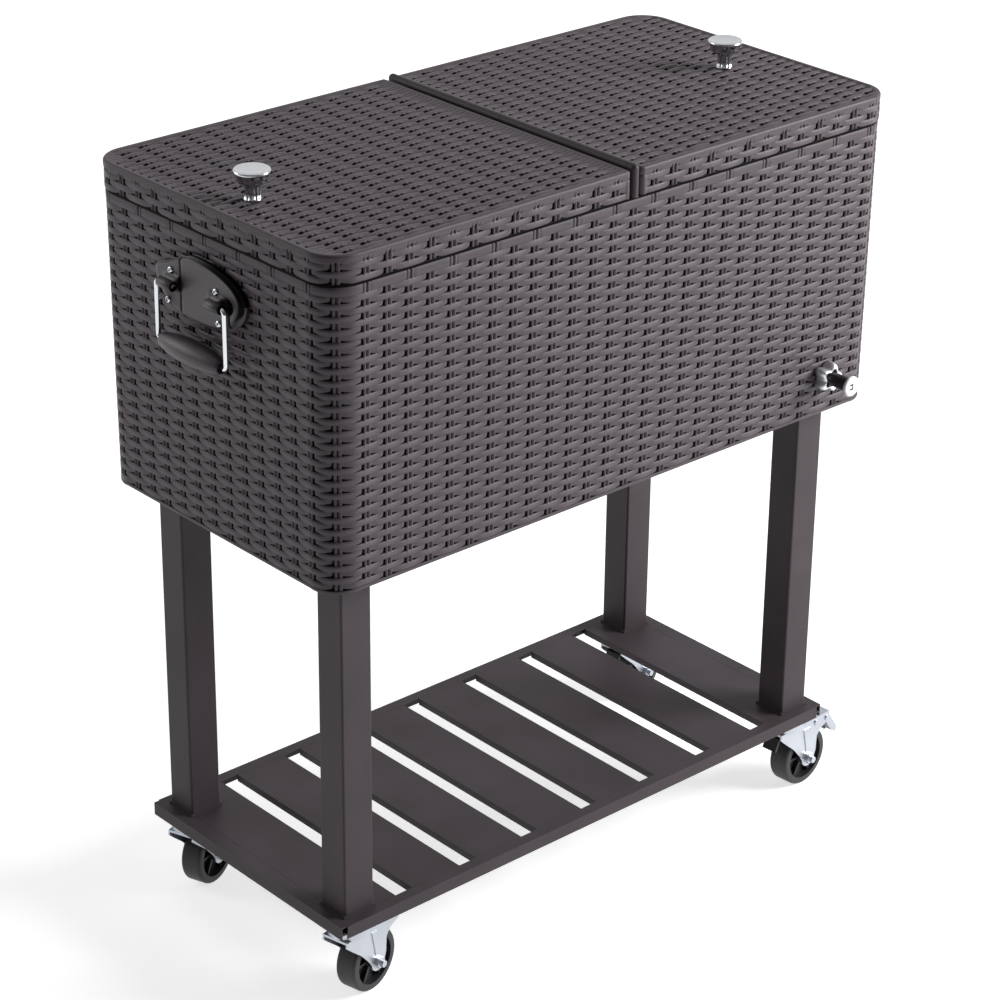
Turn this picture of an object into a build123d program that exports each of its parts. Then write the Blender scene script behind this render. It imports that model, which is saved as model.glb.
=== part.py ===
from build123d import *
from math import cos, radians, sin
import os

# Rolling patio cooler: a double walled tub with two lids on a slatted trolley.
# Lengths are millimetres, Z is up, the front is towards -Y and the floor is at zero.
# Everything is built about the middle of the tub and moved to the origin when it is written.

# Driving sizes of the wheels and the trolley, from the floor up to the tub
wheel_radius = 37.5
wheel_width = 26
wheel_trail = 29
brake_rise = 10
brake_clearance = 1
fork_sheet = 2.5
caster_head = 11.5
race_thickness = 6
gusset_rise = 4.5
shelf_thickness = 15.5
leg_length = 413
leg_size = 40
sheet = 1.5
wheel_top = 2 * wheel_radius
fork_top = wheel_top + brake_rise + brake_clearance + fork_sheet
race_low = fork_top + caster_head
gusset_low = race_low + race_thickness
shelf_bottom = gusset_low - gusset_rise
shelf_top = shelf_bottom + shelf_thickness

# Driving sizes of the tub
body_length = 798
body_depth = 395
body_height = 332
draft_length = 1
draft_depth = 6
body_corner = 36
shell_wall = 3
shell_lip_height = 2
shell_lip_width = 8
corner_drop = 1.2
small_gap = 0.3
close_gap = 0.2
hole_ease = 0.1
running_ease = 0.08
kingpin_ease = 0.06
whole_turn = 360
base_length = body_length - draft_length
base_depth = body_depth - draft_depth
body_bottom = shelf_top + leg_length
shell_top = body_bottom + body_height

# Driving sizes of the liner, which leaves room for foam all round
flange_thickness = 2
flange_setback = 1.3
side_foam = 29
floor_foam = 31
liner_draft = 8
tub_corner = 40
tub_wall = 2.5
flange_bottom = shell_top
flange_top = flange_bottom + flange_thickness
flange_length = body_length - 2 * flange_setback
flange_depth = body_depth - 2 * flange_setback
tub_top_length = body_length - 2 * side_foam
tub_top_depth = body_depth - 2 * side_foam
tub_floor_length = tub_top_length - 2 * liner_draft
tub_floor_depth = tub_top_depth - 2 * liner_draft
tub_floor = body_bottom + floor_foam

# Driving sizes of the lids and their hinge
lid_overhang = 1
lid_seam = 1
lid_thickness = 30.5
lid_wall = 3
lid_edge = 3
lid_inner_corner = 4
hinge_x = 6
hinge_pin_radius = 2
hinge_drop = 0.5
barrel_radius = 5
barrel_split = 11
barrel_setback = 12
left_lid_setback = 8.5
right_lid_setback = 5.6
lid_length = body_length + 2 * lid_overhang
lid_depth = body_depth + 2 * lid_overhang
lid_bottom = flange_top + lid_seam
lid_top = lid_bottom + lid_thickness
hinge_z = lid_top - hinge_drop
hinge_rear = lid_depth / 2
barrel_reach = lid_depth / 2 - barrel_setback

# Driving sizes of the legs and the shelf, which stand in from the tub's sides
leg_setback_x = 60.5
leg_setback_y = 60
shelf_setback_x = 25.5
shelf_setback_y = 26
slat_count = 8
slat_width = 68
shelf_rim_x = 17.5
shelf_rim_y = 14.2
caster_shift_x = 2.5
caster_shift_y = 4.5
leg_x = body_length / 2 - leg_setback_x
leg_y = body_depth / 2 - leg_setback_y
shelf_length = body_length - 2 * shelf_setback_x
shelf_depth = body_depth - 2 * shelf_setback_y
slat_span = shelf_length - 2 * shelf_rim_x
slat_pitch = (slat_span - slat_width) / (slat_count - 1)
slat_length = shelf_depth - 2 * shelf_rim_y
caster_x = leg_x + caster_shift_x
caster_y = leg_y + caster_shift_y

# Driving sizes of the carrying handles
handle_y = 5
handle_plate_thickness = 9
handle_reach = 8.5
handle_fall = 59
handle_drop = 63
bail_half = 57
bail_radius = 2.75
handle_plate_back = body_length / 2
handle_plate_front = handle_plate_back + handle_plate_thickness
handle_pivot_x = handle_plate_front + handle_reach
handle_pivot_z = shell_top - handle_fall

# Driving sizes of the drain, from the liner's inner face out to the cap
drain_setback = 85.5
drain_rise = 17
collar_standoff = 0.8
collar_thickness = 15.7
pipe_reach = 25
cap_thickness = 4
drain_x = body_length / 2 - drain_setback
drain_z = tub_floor + drain_rise
collar_back = base_depth / 2 + collar_standoff
collar_front = collar_back + collar_thickness
pipe_front = collar_front + pipe_reach
cap_back = pipe_front + small_gap
drain_front = cap_back + cap_thickness

# The origin is under the middle of the whole part, so the tub stands behind it
origin_shift = (drain_front - hinge_rear) / 2

os.makedirs("parts", exist_ok=True)


def save(name, *solids):
    """Moves the solids from the middle of the tub to the origin and writes one node."""
    moved = [Pos(0, origin_shift, 0) * solid for solid in solids]
    node = moved[0] if len(moved) == 1 else Compound(children=moved)
    export_step(node, "parts/" + name + ".step")


def block(x_span, y_span, z_span):
    """A box between two values on each axis."""
    middle = [(span[0] + span[1]) / 2 for span in (x_span, y_span, z_span)]
    size = [abs(span[1] - span[0]) for span in (x_span, y_span, z_span)]
    return Pos(*middle) * Box(*size)


def both(value):
    """The span that reaches as far to one side of zero as to the other."""
    return (-value, value)


def rod(radius, start, end):
    """A round bar between the middles of its two ends."""
    along = Vector(*end) - Vector(*start)
    bar = Cylinder(radius, along.length, align=(Align.CENTER, Align.CENTER, Align.MIN))
    return Plane(origin=Vector(*start), z_dir=along) * bar


def prism(outline, low, high):
    """A flat outline raised between two heights."""
    return Pos(0, 0, low) * extrude(outline, amount=high - low)


def rounded(length, depth, corner):
    """A rectangle in plan with rounded corners."""
    return RectangleRounded(length, depth, corner)


def tapered(low_size, high_size, corner, low, high):
    """A block with rounded corners that grows evenly from its low to its high outline."""
    sections = [
        Pos(0, 0, low) * rounded(low_size[0], low_size[1], corner),
        Pos(0, 0, high) * rounded(high_size[0], high_size[1], corner),
    ]
    return loft(sections)


def side_plate(points, y_span):
    """A plate cut to an outline of (x, z) points and standing between two values of y."""
    outline = make_face(Polyline(*points, close=True))
    standing = Plane(origin=(0, y_span[1], 0), x_dir=(1, 0, 0), z_dir=(0, -1, 0))
    return standing * extrude(outline, amount=y_span[1] - y_span[0])


def turned(profile, x=0, y=0):
    """A turned piece from (radius, height) points, standing on the upright axis at x, y."""
    face = Plane.XZ * make_face(Polyline(*profile, close=True))
    return Pos(x, y, 0) * revolve(face, Axis.Z)


# Outer shell of the tub, moulded with its corners a little deeper than its straight sides
shell = tapered(
    (base_length, base_depth),
    (body_length, body_depth),
    body_corner,
    body_bottom - corner_drop,
    shell_top,
)
inside_length = base_length - 2 * shell_wall
inside_depth = base_depth - 2 * shell_wall
top_inside_length = body_length - 2 * shell_wall
top_inside_depth = body_depth - 2 * shell_wall
lip_top = body_bottom + shell_lip_height
shell -= tapered(
    (inside_length, inside_depth),
    (top_inside_length, top_inside_depth),
    body_corner - shell_wall,
    lip_top,
    shell_top,
)
lip_corner = body_corner - shell_wall - shell_lip_width
lip_opening = rounded(
    inside_length - 2 * shell_lip_width,
    inside_depth - 2 * shell_lip_width,
    lip_corner,
)
shell -= prism(lip_opening, body_bottom - corner_drop, lip_top)
straight_x = base_length / 2 - body_corner
straight_y = base_depth / 2 - body_corner
under_edge = (body_bottom - corner_drop, body_bottom)
shell -= block(both(straight_x), both(body_depth), under_edge)
shell -= block(both(body_length), both(straight_y), under_edge)

# Places of the four screws of each handle plate as (y, z), and of the drain
handle_plate_margin = 18
handle_plate_half = bail_half + handle_plate_margin
handle_plate_height = 69.5
handle_plate_below = 34.5
handle_plate_low = handle_pivot_z - handle_plate_below
screw_place_shares = [(0.58, 0.6691), (0.6613, 0.1799), (-0.4267, 0.6547), (-0.472, 0.1741)]
handle_screw_places = []
for across, rise in screw_place_shares:
    screw_y = handle_y + across * handle_plate_half
    screw_z = handle_plate_low + rise * handle_plate_height
    handle_screw_places.append((screw_y, screw_z))
handle_screw_radius = 1.9
handle_screw_hole = handle_screw_radius + hole_ease
handle_screw_clearance = 3.5
handle_screw_end = tub_top_length / 2 + tub_wall + handle_screw_clearance
handle_screw_head = 3.8
handle_screw_head_height = 2.2
drain_pipe_radius = 8
drain_pipe_bore = 5
drain_hole = drain_pipe_radius + small_gap


def handle_screw_tool(side, radius, near, far):
    """The four round bars on a handle's screw axes between two distances from the middle."""
    bars = []
    for y, z in handle_screw_places:
        bars.append(rod(radius, (side * near, y, z), (side * far, y, z)))
    return bars


def drain_bar(radius, back, front):
    """A round bar on the drain's axis between two distances in front of the middle."""
    return rod(radius, (drain_x, -back, drain_z), (drain_x, -front, drain_z))


handle_hole_end = handle_screw_end - small_gap
for side in (-1, 1):
    for bar in handle_screw_tool(side, handle_screw_hole, handle_hole_end, handle_plate_front):
        shell -= bar
shell -= drain_bar(drain_hole, tub_top_depth / 2, body_depth / 2)
save("outer_shell", shell)

# Base panel, a flat board that lies on the shell's lip and takes the leg screws
base_panel_thickness = 3
base_panel_top = lip_top + base_panel_thickness
panel_outline = rounded(
    inside_length - 2 * small_gap,
    inside_depth - 2 * small_gap,
    body_corner - shell_wall,
)
base_panel = prism(panel_outline, lip_top, base_panel_top)

# Leg screws go up through each leg's top plate and the base panel
leg_screw_standoff = 5
leg_plate_margin = 6
leg_plate_thickness = 3
leg_screw_offset = leg_size / 2 + leg_screw_standoff
leg_plate_half = leg_screw_offset + leg_plate_margin
leg_screw_radius = 2.5
leg_screw_hole = leg_screw_radius + hole_ease
leg_screw_head = 4.5
leg_screw_head_height = 3
leg_screw_length = 16
leg_screw_end = lip_top + leg_screw_length
leg_plate_low = lip_top - leg_plate_thickness
leg_places = [(-leg_x, -leg_y), (leg_x, -leg_y), (-leg_x, leg_y), (leg_x, leg_y)]
leg_screw_places = []
for x, y in leg_places:
    for along in (-leg_screw_offset, leg_screw_offset):
        for across in (-leg_screw_offset, leg_screw_offset):
            leg_screw_places.append((x + along, y + across))
for x, y in leg_screw_places:
    base_panel -= rod(leg_screw_hole, (x, y, lip_top), (x, y, base_panel_top))
save("base_panel", base_panel)

# Liner, a drawn plastic tub with a flange that lies on the shell's top edge
tub_outside = tapered(
    (tub_floor_length + 2 * tub_wall, tub_floor_depth + 2 * tub_wall),
    (tub_top_length + 2 * tub_wall, tub_top_depth + 2 * tub_wall),
    tub_corner + tub_wall,
    tub_floor - tub_wall,
    flange_top,
)
tub_inside = tapered(
    (tub_floor_length, tub_floor_depth),
    (tub_top_length, tub_top_depth),
    tub_corner,
    tub_floor,
    flange_top,
)
flange_corner = body_corner - (body_length - flange_length) / 2
flange = prism(rounded(flange_length, flange_depth, flange_corner), flange_bottom, flange_top)
liner = flange + tub_outside - tub_inside
liner -= drain_bar(drain_hole, tub_floor_depth / 2 - tub_wall, tub_top_depth / 2 + tub_wall)

# The posts' foot tabs are screwed to the liner's flange and to the beam
post_y = hinge_rear - barrel_radius
foot_half = 4.5
foot_length = 43.5
foot_thickness = 2.5
foot_end = post_y - foot_length
foot_top = flange_top + foot_thickness
foot_screw_radius = 1.6
foot_screw_hole = foot_screw_radius + hole_ease
foot_screw_head = 3.2
foot_screw_head_height = 1.8
foot_screw_depth = 12
flange_screw_setback = 12.5
beam_screw_setback = 37.5
foot_screw_end = flange_top - foot_screw_depth
flange_screw_y = post_y - flange_screw_setback
beam_screw_y = post_y - beam_screw_setback
for y in both(flange_screw_y):
    liner -= rod(foot_screw_hole, (hinge_x, y, flange_bottom), (hinge_x, y, flange_top))
save("liner", liner)

# Insulation, foamed in place between the shell and the liner
foam_gap = shell_wall + close_gap
foam_outline = rounded(
    base_length - 2 * foam_gap,
    base_depth - 2 * foam_gap,
    body_corner - foam_gap,
)
foam = prism(foam_outline, base_panel_top, flange_bottom)
hollow_wall = tub_wall + close_gap
foam -= tapered(
    (tub_floor_length + 2 * hollow_wall, tub_floor_depth + 2 * hollow_wall),
    (tub_top_length + 2 * hollow_wall, tub_top_depth + 2 * hollow_wall),
    tub_corner + hollow_wall,
    tub_floor - hollow_wall,
    flange_top,
)
foam -= drain_bar(drain_hole, tub_floor_depth / 2, body_depth / 2)
for side in (-1, 1):
    for bar in handle_screw_tool(side, handle_screw_hole, handle_hole_end, handle_plate_front):
        foam -= bar
for x, y in leg_screw_places:
    foam -= rod(leg_screw_hole, (x, y, base_panel_top), (x, y, leg_screw_end + small_gap))
for y in both(flange_screw_y):
    foam -= rod(foot_screw_hole, (hinge_x, y, foot_screw_end - small_gap), (hinge_x, y, flange_bottom))
save("insulation", foam)

# Centre beam, a hollow bar across the tub's mouth between the two lids
beam_half = 24
beam_clearance = 1.1
beam_height = 26
beam_wall = 3
beam_reach = tub_top_depth / 2 - beam_clearance
beam_bottom = flange_top - beam_height
beam_x = (hinge_x - beam_half, hinge_x + beam_half)
beam = block(beam_x, both(beam_reach), (beam_bottom, flange_top))
beam_hollow_x = (beam_x[0] + beam_wall, beam_x[1] - beam_wall)
beam -= block(beam_hollow_x, both(beam_reach - beam_wall), (beam_bottom, flange_top - beam_wall))
for y in both(beam_screw_y):
    beam -= rod(foot_screw_hole, (hinge_x, y, flange_top - beam_wall), (hinge_x, y, flange_top))
save("centre_beam", beam)

# Hinge posts, an upright bar at each end with an elbow that holds the hinge pin
stub_end = barrel_reach + small_gap
pin_setback = 2
pin_end = post_y - pin_setback
pin_hole = hinge_pin_radius + hole_ease / 2
hinge_posts = []
for side in (-1, 1):
    corner = (hinge_x, side * post_y, hinge_z)
    post = rod(barrel_radius, (hinge_x, side * post_y, flange_top), corner)
    post += Pos(*corner) * Sphere(barrel_radius)
    post += rod(barrel_radius, corner, (hinge_x, side * stub_end, hinge_z))
    foot_y = (side * post_y, side * foot_end)
    post += block((hinge_x - foot_half, hinge_x + foot_half), foot_y, (flange_top, foot_top))
    post -= rod(pin_hole, (hinge_x, side * pin_end, hinge_z), (hinge_x, 0, hinge_z))
    for y in (flange_screw_y, beam_screw_y):
        post -= rod(foot_screw_hole, (hinge_x, side * y, flange_top), (hinge_x, side * y, foot_top))
    hinge_posts.append(post)
save("hinge_posts", *hinge_posts)

# The pin runs through both barrels from post to post
save("hinge_pin", rod(hinge_pin_radius, (hinge_x, -pin_end, hinge_z), (hinge_x, pin_end, hinge_z)))

# Foot screws, two for each hinge post
foot_screws = []
for y in (-flange_screw_y, -beam_screw_y, beam_screw_y, flange_screw_y):
    screw = rod(foot_screw_radius, (hinge_x, y, foot_screw_end), (hinge_x, y, foot_top))
    screw += rod(foot_screw_head, (hinge_x, y, foot_top), (hinge_x, y, foot_top + foot_screw_head_height))
    foot_screws.append(screw)
save("hinge_post_screws", *foot_screws)

# Two lids, each a moulded tray that holds foam, a flat inner plate and a seal
lid_plate_rise = 1
lid_plate_thickness = 2.5
lid_plate_low = lid_bottom + lid_plate_rise
lid_plate_high = lid_plate_low + lid_plate_thickness
gasket_low = flange_top + close_gap
gasket_outer = 8
gasket_width = 7
left_knob_setback = 50
right_knob_setback = 82
knob_x = {-1: lid_length / 2 - left_knob_setback, 1: lid_length / 2 - right_knob_setback}
knob_y = -15
knob_screw_radius = 2.5
knob_screw_hole = knob_screw_radius + hole_ease
knob_screw_head = 5
knob_screw_head_height = 3
knob_screw_rise = 14
lid_names = {-1: "left", 1: "right"}
lid_inner_edge = {-1: hinge_x - left_lid_setback, 1: hinge_x + right_lid_setback}
leaf_thickness = 1.5
leaf_rise = 11
strap_drop = 7
strap_thickness = 3
leaf_low = lid_bottom + leaf_rise
strap_low = hinge_z - strap_drop
strap_high = strap_low + strap_thickness
barrel_bore = hinge_pin_radius + running_ease
barrel_spans = {
    -1: (-barrel_reach, barrel_split - close_gap),
    1: (barrel_split + close_gap, barrel_reach),
}
knob_profile = [
    (0, 0),
    (9.5, 0),
    (9.5, 1.2),
    (7.2, 2.2),
    (6.6, 6),
    (6.9, 11),
    (8, 16),
    (8.8, 18.4),
    (16.4, 19),
    (17, 19.8),
    (17, 21),
    (19.4, 30.2),
    (19.5, 31.2),
    (18.6, 32),
    (15, 32),
    (13, 31),
    (0, 30.2),
]
for side in (-1, 1):
    name = lid_names[side]
    edge = lid_inner_edge[side]
    whole = rounded(lid_length, lid_depth, body_corner + (lid_length - body_length) / 2)
    middle_x = (edge + side * lid_length) / 2
    outline = whole & Pos(middle_x, 0, 0) * Rectangle(abs(side * lid_length - edge), lid_depth)
    inner_points = outline.vertices().filter_by_position(Axis.X, edge - small_gap, edge + small_gap)
    outline = fillet(inner_points, lid_inner_corner)
    tray = prism(outline, lid_bottom, lid_top)
    tray = fillet(tray.edges().group_by(Axis.Z)[-1], lid_edge)
    inner_outline = offset(outline, amount=-lid_wall)
    tray -= prism(inner_outline, lid_bottom, lid_top - lid_wall)
    knob_place = (side * knob_x[side], knob_y)
    skin_low = (*knob_place, lid_top - lid_wall)
    skin_high = (*knob_place, lid_top)
    tray -= rod(knob_screw_hole, skin_low, skin_high)
    save(name + "_lid_shell", tray)

    fill_outline = offset(outline, amount=-lid_wall - close_gap)
    head_low = (*knob_place, lid_top - lid_wall - knob_screw_head_height)
    foam_slab = prism(fill_outline, lid_plate_high, lid_top - lid_wall - close_gap)
    foam_slab -= rod(knob_screw_head + small_gap, (*knob_place, head_low[2] - small_gap), skin_low)
    save(name + "_lid_foam", foam_slab)
    save(name + "_lid_plate", prism(fill_outline, lid_plate_low, lid_plate_high))

    seal_outer = offset(outline, amount=-gasket_outer)
    seal_inner = offset(outline, amount=-gasket_outer - gasket_width)
    save(name + "_lid_seal", prism(seal_outer - seal_inner, gasket_low, lid_plate_low))

    low_y, high_y = barrel_spans[side]
    barrel = rod(barrel_radius, (hinge_x, low_y, hinge_z), (hinge_x, high_y, hinge_z))
    barrel += block((hinge_x, edge), (low_y, high_y), (strap_low, strap_high))
    leaf_x = (edge, edge - side * leaf_thickness)
    barrel += block(leaf_x, (low_y, high_y), (leaf_low, strap_high))
    barrel -= rod(barrel_bore, (hinge_x, low_y, hinge_z), (hinge_x, high_y, hinge_z))
    save(name + "_lid_barrel", barrel)

    knob = Pos(0, 0, lid_top) * turned(knob_profile, *knob_place)
    knob -= rod(knob_screw_hole, skin_high, (*knob_place, lid_top + knob_screw_rise + small_gap))
    save(name + "_knob", knob)
    screw = rod(knob_screw_radius, skin_low, (*knob_place, lid_top + knob_screw_rise))
    screw += rod(knob_screw_head, head_low, skin_low)
    save(name + "_knob_screw", screw)

# Carrying handles: a half moon plate, four screws, a wire bail and a grip on each end
plate_shares = [
    (1, 0.5827),
    (0.92, 0.741),
    (0.6933, 0.8921),
    (0.36, 0.9712),
    (0, 1),
    (-0.36, 0.9712),
    (-0.6933, 0.8921),
    (-0.92, 0.741),
    (-1, 0.5827),
    (-0.9467, 0.3813),
    (-0.7733, 0.1799),
    (-0.4667, 0.0504),
    (0, 0),
    (0.4667, 0.0504),
    (0.7733, 0.1799),
    (0.9467, 0.3813),
]
plate_points = []
for across, rise in plate_shares:
    point_y = handle_y + across * handle_plate_half
    point_z = handle_plate_low + rise * handle_plate_height
    plate_points.append((point_y, point_z))
plate_edge = 2.5
boss_radius = 5.6
boss_end_gap = 5
boss_length = 24
boss_out = bail_half - boss_end_gap
boss_in = boss_out - boss_length
boss_spans = [
    (handle_y + boss_in, handle_y + boss_out),
    (handle_y - boss_out, handle_y - boss_in),
]
boss_web_half = 4.2
bail_bore = bail_radius + running_ease
bail_pin_setback = 2
bail_pin_half = boss_in + bail_pin_setback
bail_pin_ends = [handle_y + bail_pin_half, handle_y - bail_pin_half]
bail_bend = 4.5
grip_end_gap = 7
grip_end = bail_half - grip_end_gap
grip_radius = 13.6
grip_profile_shares = [
    (-1, 0.5147),
    (-0.92, 0.6324),
    (-0.6, 0.8382),
    (-0.28, 0.9632),
    (0, 1),
    (0.28, 0.9632),
    (0.6, 0.8382),
    (0.92, 0.6324),
    (1, 0.5147),
]
grip_points = [(round_share * grip_radius, along * grip_end) for along, round_share in grip_profile_shares]
handle_screws = []
for side, name in ((-1, "left"), (1, "right")):
    face = make_face(Spline(*plate_points, periodic=True))
    upright = Plane(origin=(handle_plate_back, 0, 0), x_dir=(0, 1, 0), z_dir=(1, 0, 0))
    plate = upright * extrude(face, amount=handle_plate_front - handle_plate_back)
    plate = fillet(plate.edges().group_by(Axis.X)[-1], plate_edge)
    for low, high in boss_spans:
        boss_low = (handle_pivot_x, low, handle_pivot_z)
        boss_high = (handle_pivot_x, high, handle_pivot_z)
        plate += rod(boss_radius, boss_low, boss_high)
        web_z = (handle_pivot_z - boss_web_half, handle_pivot_z + boss_web_half)
        plate += block((handle_plate_front - plate_edge, handle_pivot_x), (low, high), web_z)
    for low, high in boss_spans:
        boss_low = (handle_pivot_x, low, handle_pivot_z)
        boss_high = (handle_pivot_x, high, handle_pivot_z)
        plate -= rod(bail_bore, boss_low, boss_high)
    for y, z in handle_screw_places:
        plate -= rod(handle_screw_hole, (handle_plate_back, y, z), (handle_plate_front, y, z))
    head_face = side * handle_plate_front
    head_top = head_face + side * handle_screw_head_height
    for y, z in handle_screw_places:
        screw = rod(handle_screw_radius, (side * handle_screw_end, y, z), (head_face, y, z))
        screw += rod(handle_screw_head, (head_face, y, z), (head_top, y, z))
        handle_screws.append(screw)
    low_z = handle_pivot_z - handle_drop
    path_points = [
        (handle_pivot_x, bail_pin_ends[0], handle_pivot_z),
        (handle_pivot_x, handle_y + bail_half, handle_pivot_z),
        (handle_pivot_x, handle_y + bail_half, low_z),
        (handle_pivot_x, handle_y - bail_half, low_z),
        (handle_pivot_x, handle_y - bail_half, handle_pivot_z),
        (handle_pivot_x, bail_pin_ends[1], handle_pivot_z),
    ]
    path = FilletPolyline(*path_points, radius=bail_bend)
    start = Plane(origin=path_points[0], z_dir=(0, 1, 0))
    bail = sweep(start * Circle(bail_radius), path=path)
    grip_face = Plane.XY * make_face(
        Polyline((0, -grip_end), *grip_points, (0, grip_end), close=True)
    )
    grip = Pos(handle_pivot_x, handle_y, low_z) * revolve(grip_face, Axis.Y)
    tunnel_low = (handle_pivot_x, handle_y - grip_end, low_z)
    tunnel_high = (handle_pivot_x, handle_y + grip_end, low_z)
    grip -= rod(bail_radius + hole_ease, tunnel_low, tunnel_high)
    pieces = [plate, bail, grip]
    if side < 0:
        pieces = [mirror(piece, about=Plane.YZ) for piece in pieces]
    save(name + "_handle_plate", pieces[0])
    save(name + "_bail", pieces[1])
    save(name + "_grip", pieces[2])
save("handle_screws", *handle_screws)

# Drain: a pipe through the front wall, a lobed collar outside, a nut and washer inside, a cap
collar_core = 15
collar_lobe = 5.4
collar_lobe_place = 13
lobe_count = 5
lobe_start = 90
washer_gap = 0.1
washer_thickness = 1.8
washer_radius = 13
nut_thickness = 7
nut_radius = 14
pipe_end = 1.6
washer_front = tub_floor_depth / 2 - washer_gap
washer_back = washer_front - washer_thickness
nut_back = washer_back - nut_thickness
pipe_inside = nut_back - pipe_end
nut_sides = 6
cap_radius = 12
plug_length = 8.3
plug_back = cap_back - plug_length
plug_radius = drain_pipe_bore - running_ease
pipe = drain_bar(drain_pipe_radius, pipe_inside, pipe_front)
pipe -= drain_bar(drain_pipe_bore, pipe_inside, pipe_front)
save("drain_pipe", pipe)
collar = drain_bar(collar_core, collar_back, collar_front)
for lobe in range(lobe_count):
    turn = radians(lobe_start + lobe * whole_turn / lobe_count)
    lobe_x = drain_x + collar_lobe_place * cos(turn)
    lobe_z = drain_z + collar_lobe_place * sin(turn)
    collar += rod(collar_lobe, (lobe_x, -collar_back, lobe_z), (lobe_x, -collar_front, lobe_z))
collar -= drain_bar(drain_pipe_radius + hole_ease, collar_back, collar_front)
save("drain_collar", collar)
washer = drain_bar(washer_radius, washer_back, washer_front)
washer -= drain_bar(drain_pipe_radius + hole_ease, washer_back, washer_front)
save("drain_washer", washer)
nut_plane = Plane(origin=(drain_x, -nut_back, drain_z), x_dir=(1, 0, 0), z_dir=(0, -1, 0))
nut = nut_plane * extrude(RegularPolygon(nut_radius, nut_sides), amount=washer_back - nut_back)
nut -= drain_bar(drain_pipe_radius + hole_ease, nut_back, washer_back)
save("drain_nut", nut)
cap = drain_bar(cap_radius, cap_back, drain_front) + drain_bar(plug_radius, plug_back, drain_front)
save("drain_cap", cap)

# Shelf frame, folded sheet with a corner plate and a raised boss at each caster
rim_in_x = slat_span / 2 + small_gap
rim_in_y = slat_length / 2 + small_gap
rim_wall_length = shelf_length - 2 * sheet
rim_wall_depth = shelf_depth - 2 * sheet
corner_cut = 7.5
gusset_thickness = 2.5
gusset_length = 81.5
gusset_depth = 75.5
gusset_high = gusset_low + gusset_thickness
gusset_in_x = shelf_length / 2 - gusset_length
gusset_in_y = shelf_depth / 2 - gusset_depth
stem_boss = 9
stem_radius = 5
stem_hole = stem_radius + hole_ease
frame = Rectangle(shelf_length, shelf_depth) - Rectangle(rim_wall_length, rim_wall_depth)
frame = prism(frame, shelf_bottom, shelf_top)
frame += prism(
    Rectangle(shelf_length, shelf_depth) - Rectangle(2 * rim_in_x, 2 * rim_in_y),
    shelf_top - sheet,
    shelf_top,
)
caster_places = []
for side_y in (-1, 1):
    for side_x in (-1, 1):
        caster_places.append((side_x * caster_x, side_y * caster_y))
        gusset_x = (side_x * gusset_in_x, side_x * rim_wall_length / 2)
        gusset_y = (side_y * gusset_in_y, side_y * rim_wall_depth / 2)
        frame += block(gusset_x, gusset_y, (gusset_low, gusset_high))
        corner_x = (side_x * (shelf_length / 2 - corner_cut), side_x * shelf_length / 2)
        corner_y = (side_y * (shelf_depth / 2 - sheet), side_y * shelf_depth / 2)
        frame -= block(corner_x, corner_y, (shelf_bottom, shelf_top))
for x, y in caster_places:
    frame += rod(stem_boss, (x, y, gusset_high), (x, y, shelf_top - sheet))
    frame -= rod(stem_hole, (x, y, gusset_low), (x, y, shelf_top - sheet))
save("shelf_frame", frame)

# Shelf slats, folded sheet with turned down sides and end tabs under the frame's flange
slat_side_bottom = gusset_high
tab_half = 30
tab_inside = 5.3
tab_outside = 10.7
tab_start = slat_length / 2 - tab_inside
tab_end = slat_length / 2 + tab_outside
slats = []
for index in range(slat_count):
    middle = (index - (slat_count - 1) / 2) * slat_pitch
    edges = (middle - slat_width / 2, middle + slat_width / 2)
    slat = block(edges, both(slat_length / 2), (shelf_top - sheet, shelf_top))
    for edge, inward in ((edges[0], sheet), (edges[1], -sheet)):
        slat += block((edge, edge + inward), both(slat_length / 2), (slat_side_bottom, shelf_top - sheet))
    for side_y in (-1, 1):
        tab_y = (side_y * tab_start, side_y * tab_end)
        tab_z = (shelf_top - 2 * sheet, shelf_top - sheet)
        slat += block((middle - tab_half, middle + tab_half), tab_y, tab_z)
    for x, y in caster_places:
        slat -= rod(stem_hole, (x, y, shelf_top - sheet), (x, y, shelf_top))
    slats.append(slat)
save("shelf_slats", *slats)

# Legs, square tube with a screw plate on top and a foot plate with a thread below
leg_wall = 2
leg_corner = 2.5
foot_plate_margin = 1.5
foot_plate_half = leg_size / 2 + foot_plate_margin
foot_plate_thickness = 2.5
leg_nut_radius = 9
leg_nut_height = 14.5
foot_plate_top = shelf_top + foot_plate_thickness
leg_nut_top = foot_plate_top + leg_nut_height
leg_names = ["leg_front_left", "leg_front_right", "leg_rear_left", "leg_rear_right"]
for (x, y), (stem_x, stem_y), name in zip(leg_places, caster_places, leg_names):
    hollow = leg_size - 2 * leg_wall
    section = rounded(leg_size, leg_size, leg_corner) - Rectangle(hollow, hollow)
    leg = Pos(x, y, 0) * prism(section, foot_plate_top, leg_plate_low)
    plate_x = (x - leg_plate_half, x + leg_plate_half)
    leg += block(plate_x, (y - leg_plate_half, y + leg_plate_half), (leg_plate_low, lip_top))
    foot_x = (x - foot_plate_half, x + foot_plate_half)
    leg += block(foot_x, (y - foot_plate_half, y + foot_plate_half), (shelf_top, foot_plate_top))
    leg += rod(leg_nut_radius, (stem_x, stem_y, foot_plate_top), (stem_x, stem_y, leg_nut_top))
    leg -= rod(stem_hole, (stem_x, stem_y, shelf_top), (stem_x, stem_y, leg_nut_top))
    for screw_x, screw_y in leg_screw_places:
        leg -= rod(leg_screw_hole, (screw_x, screw_y, leg_plate_low), (screw_x, screw_y, lip_top))
    save(name, leg)

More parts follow.
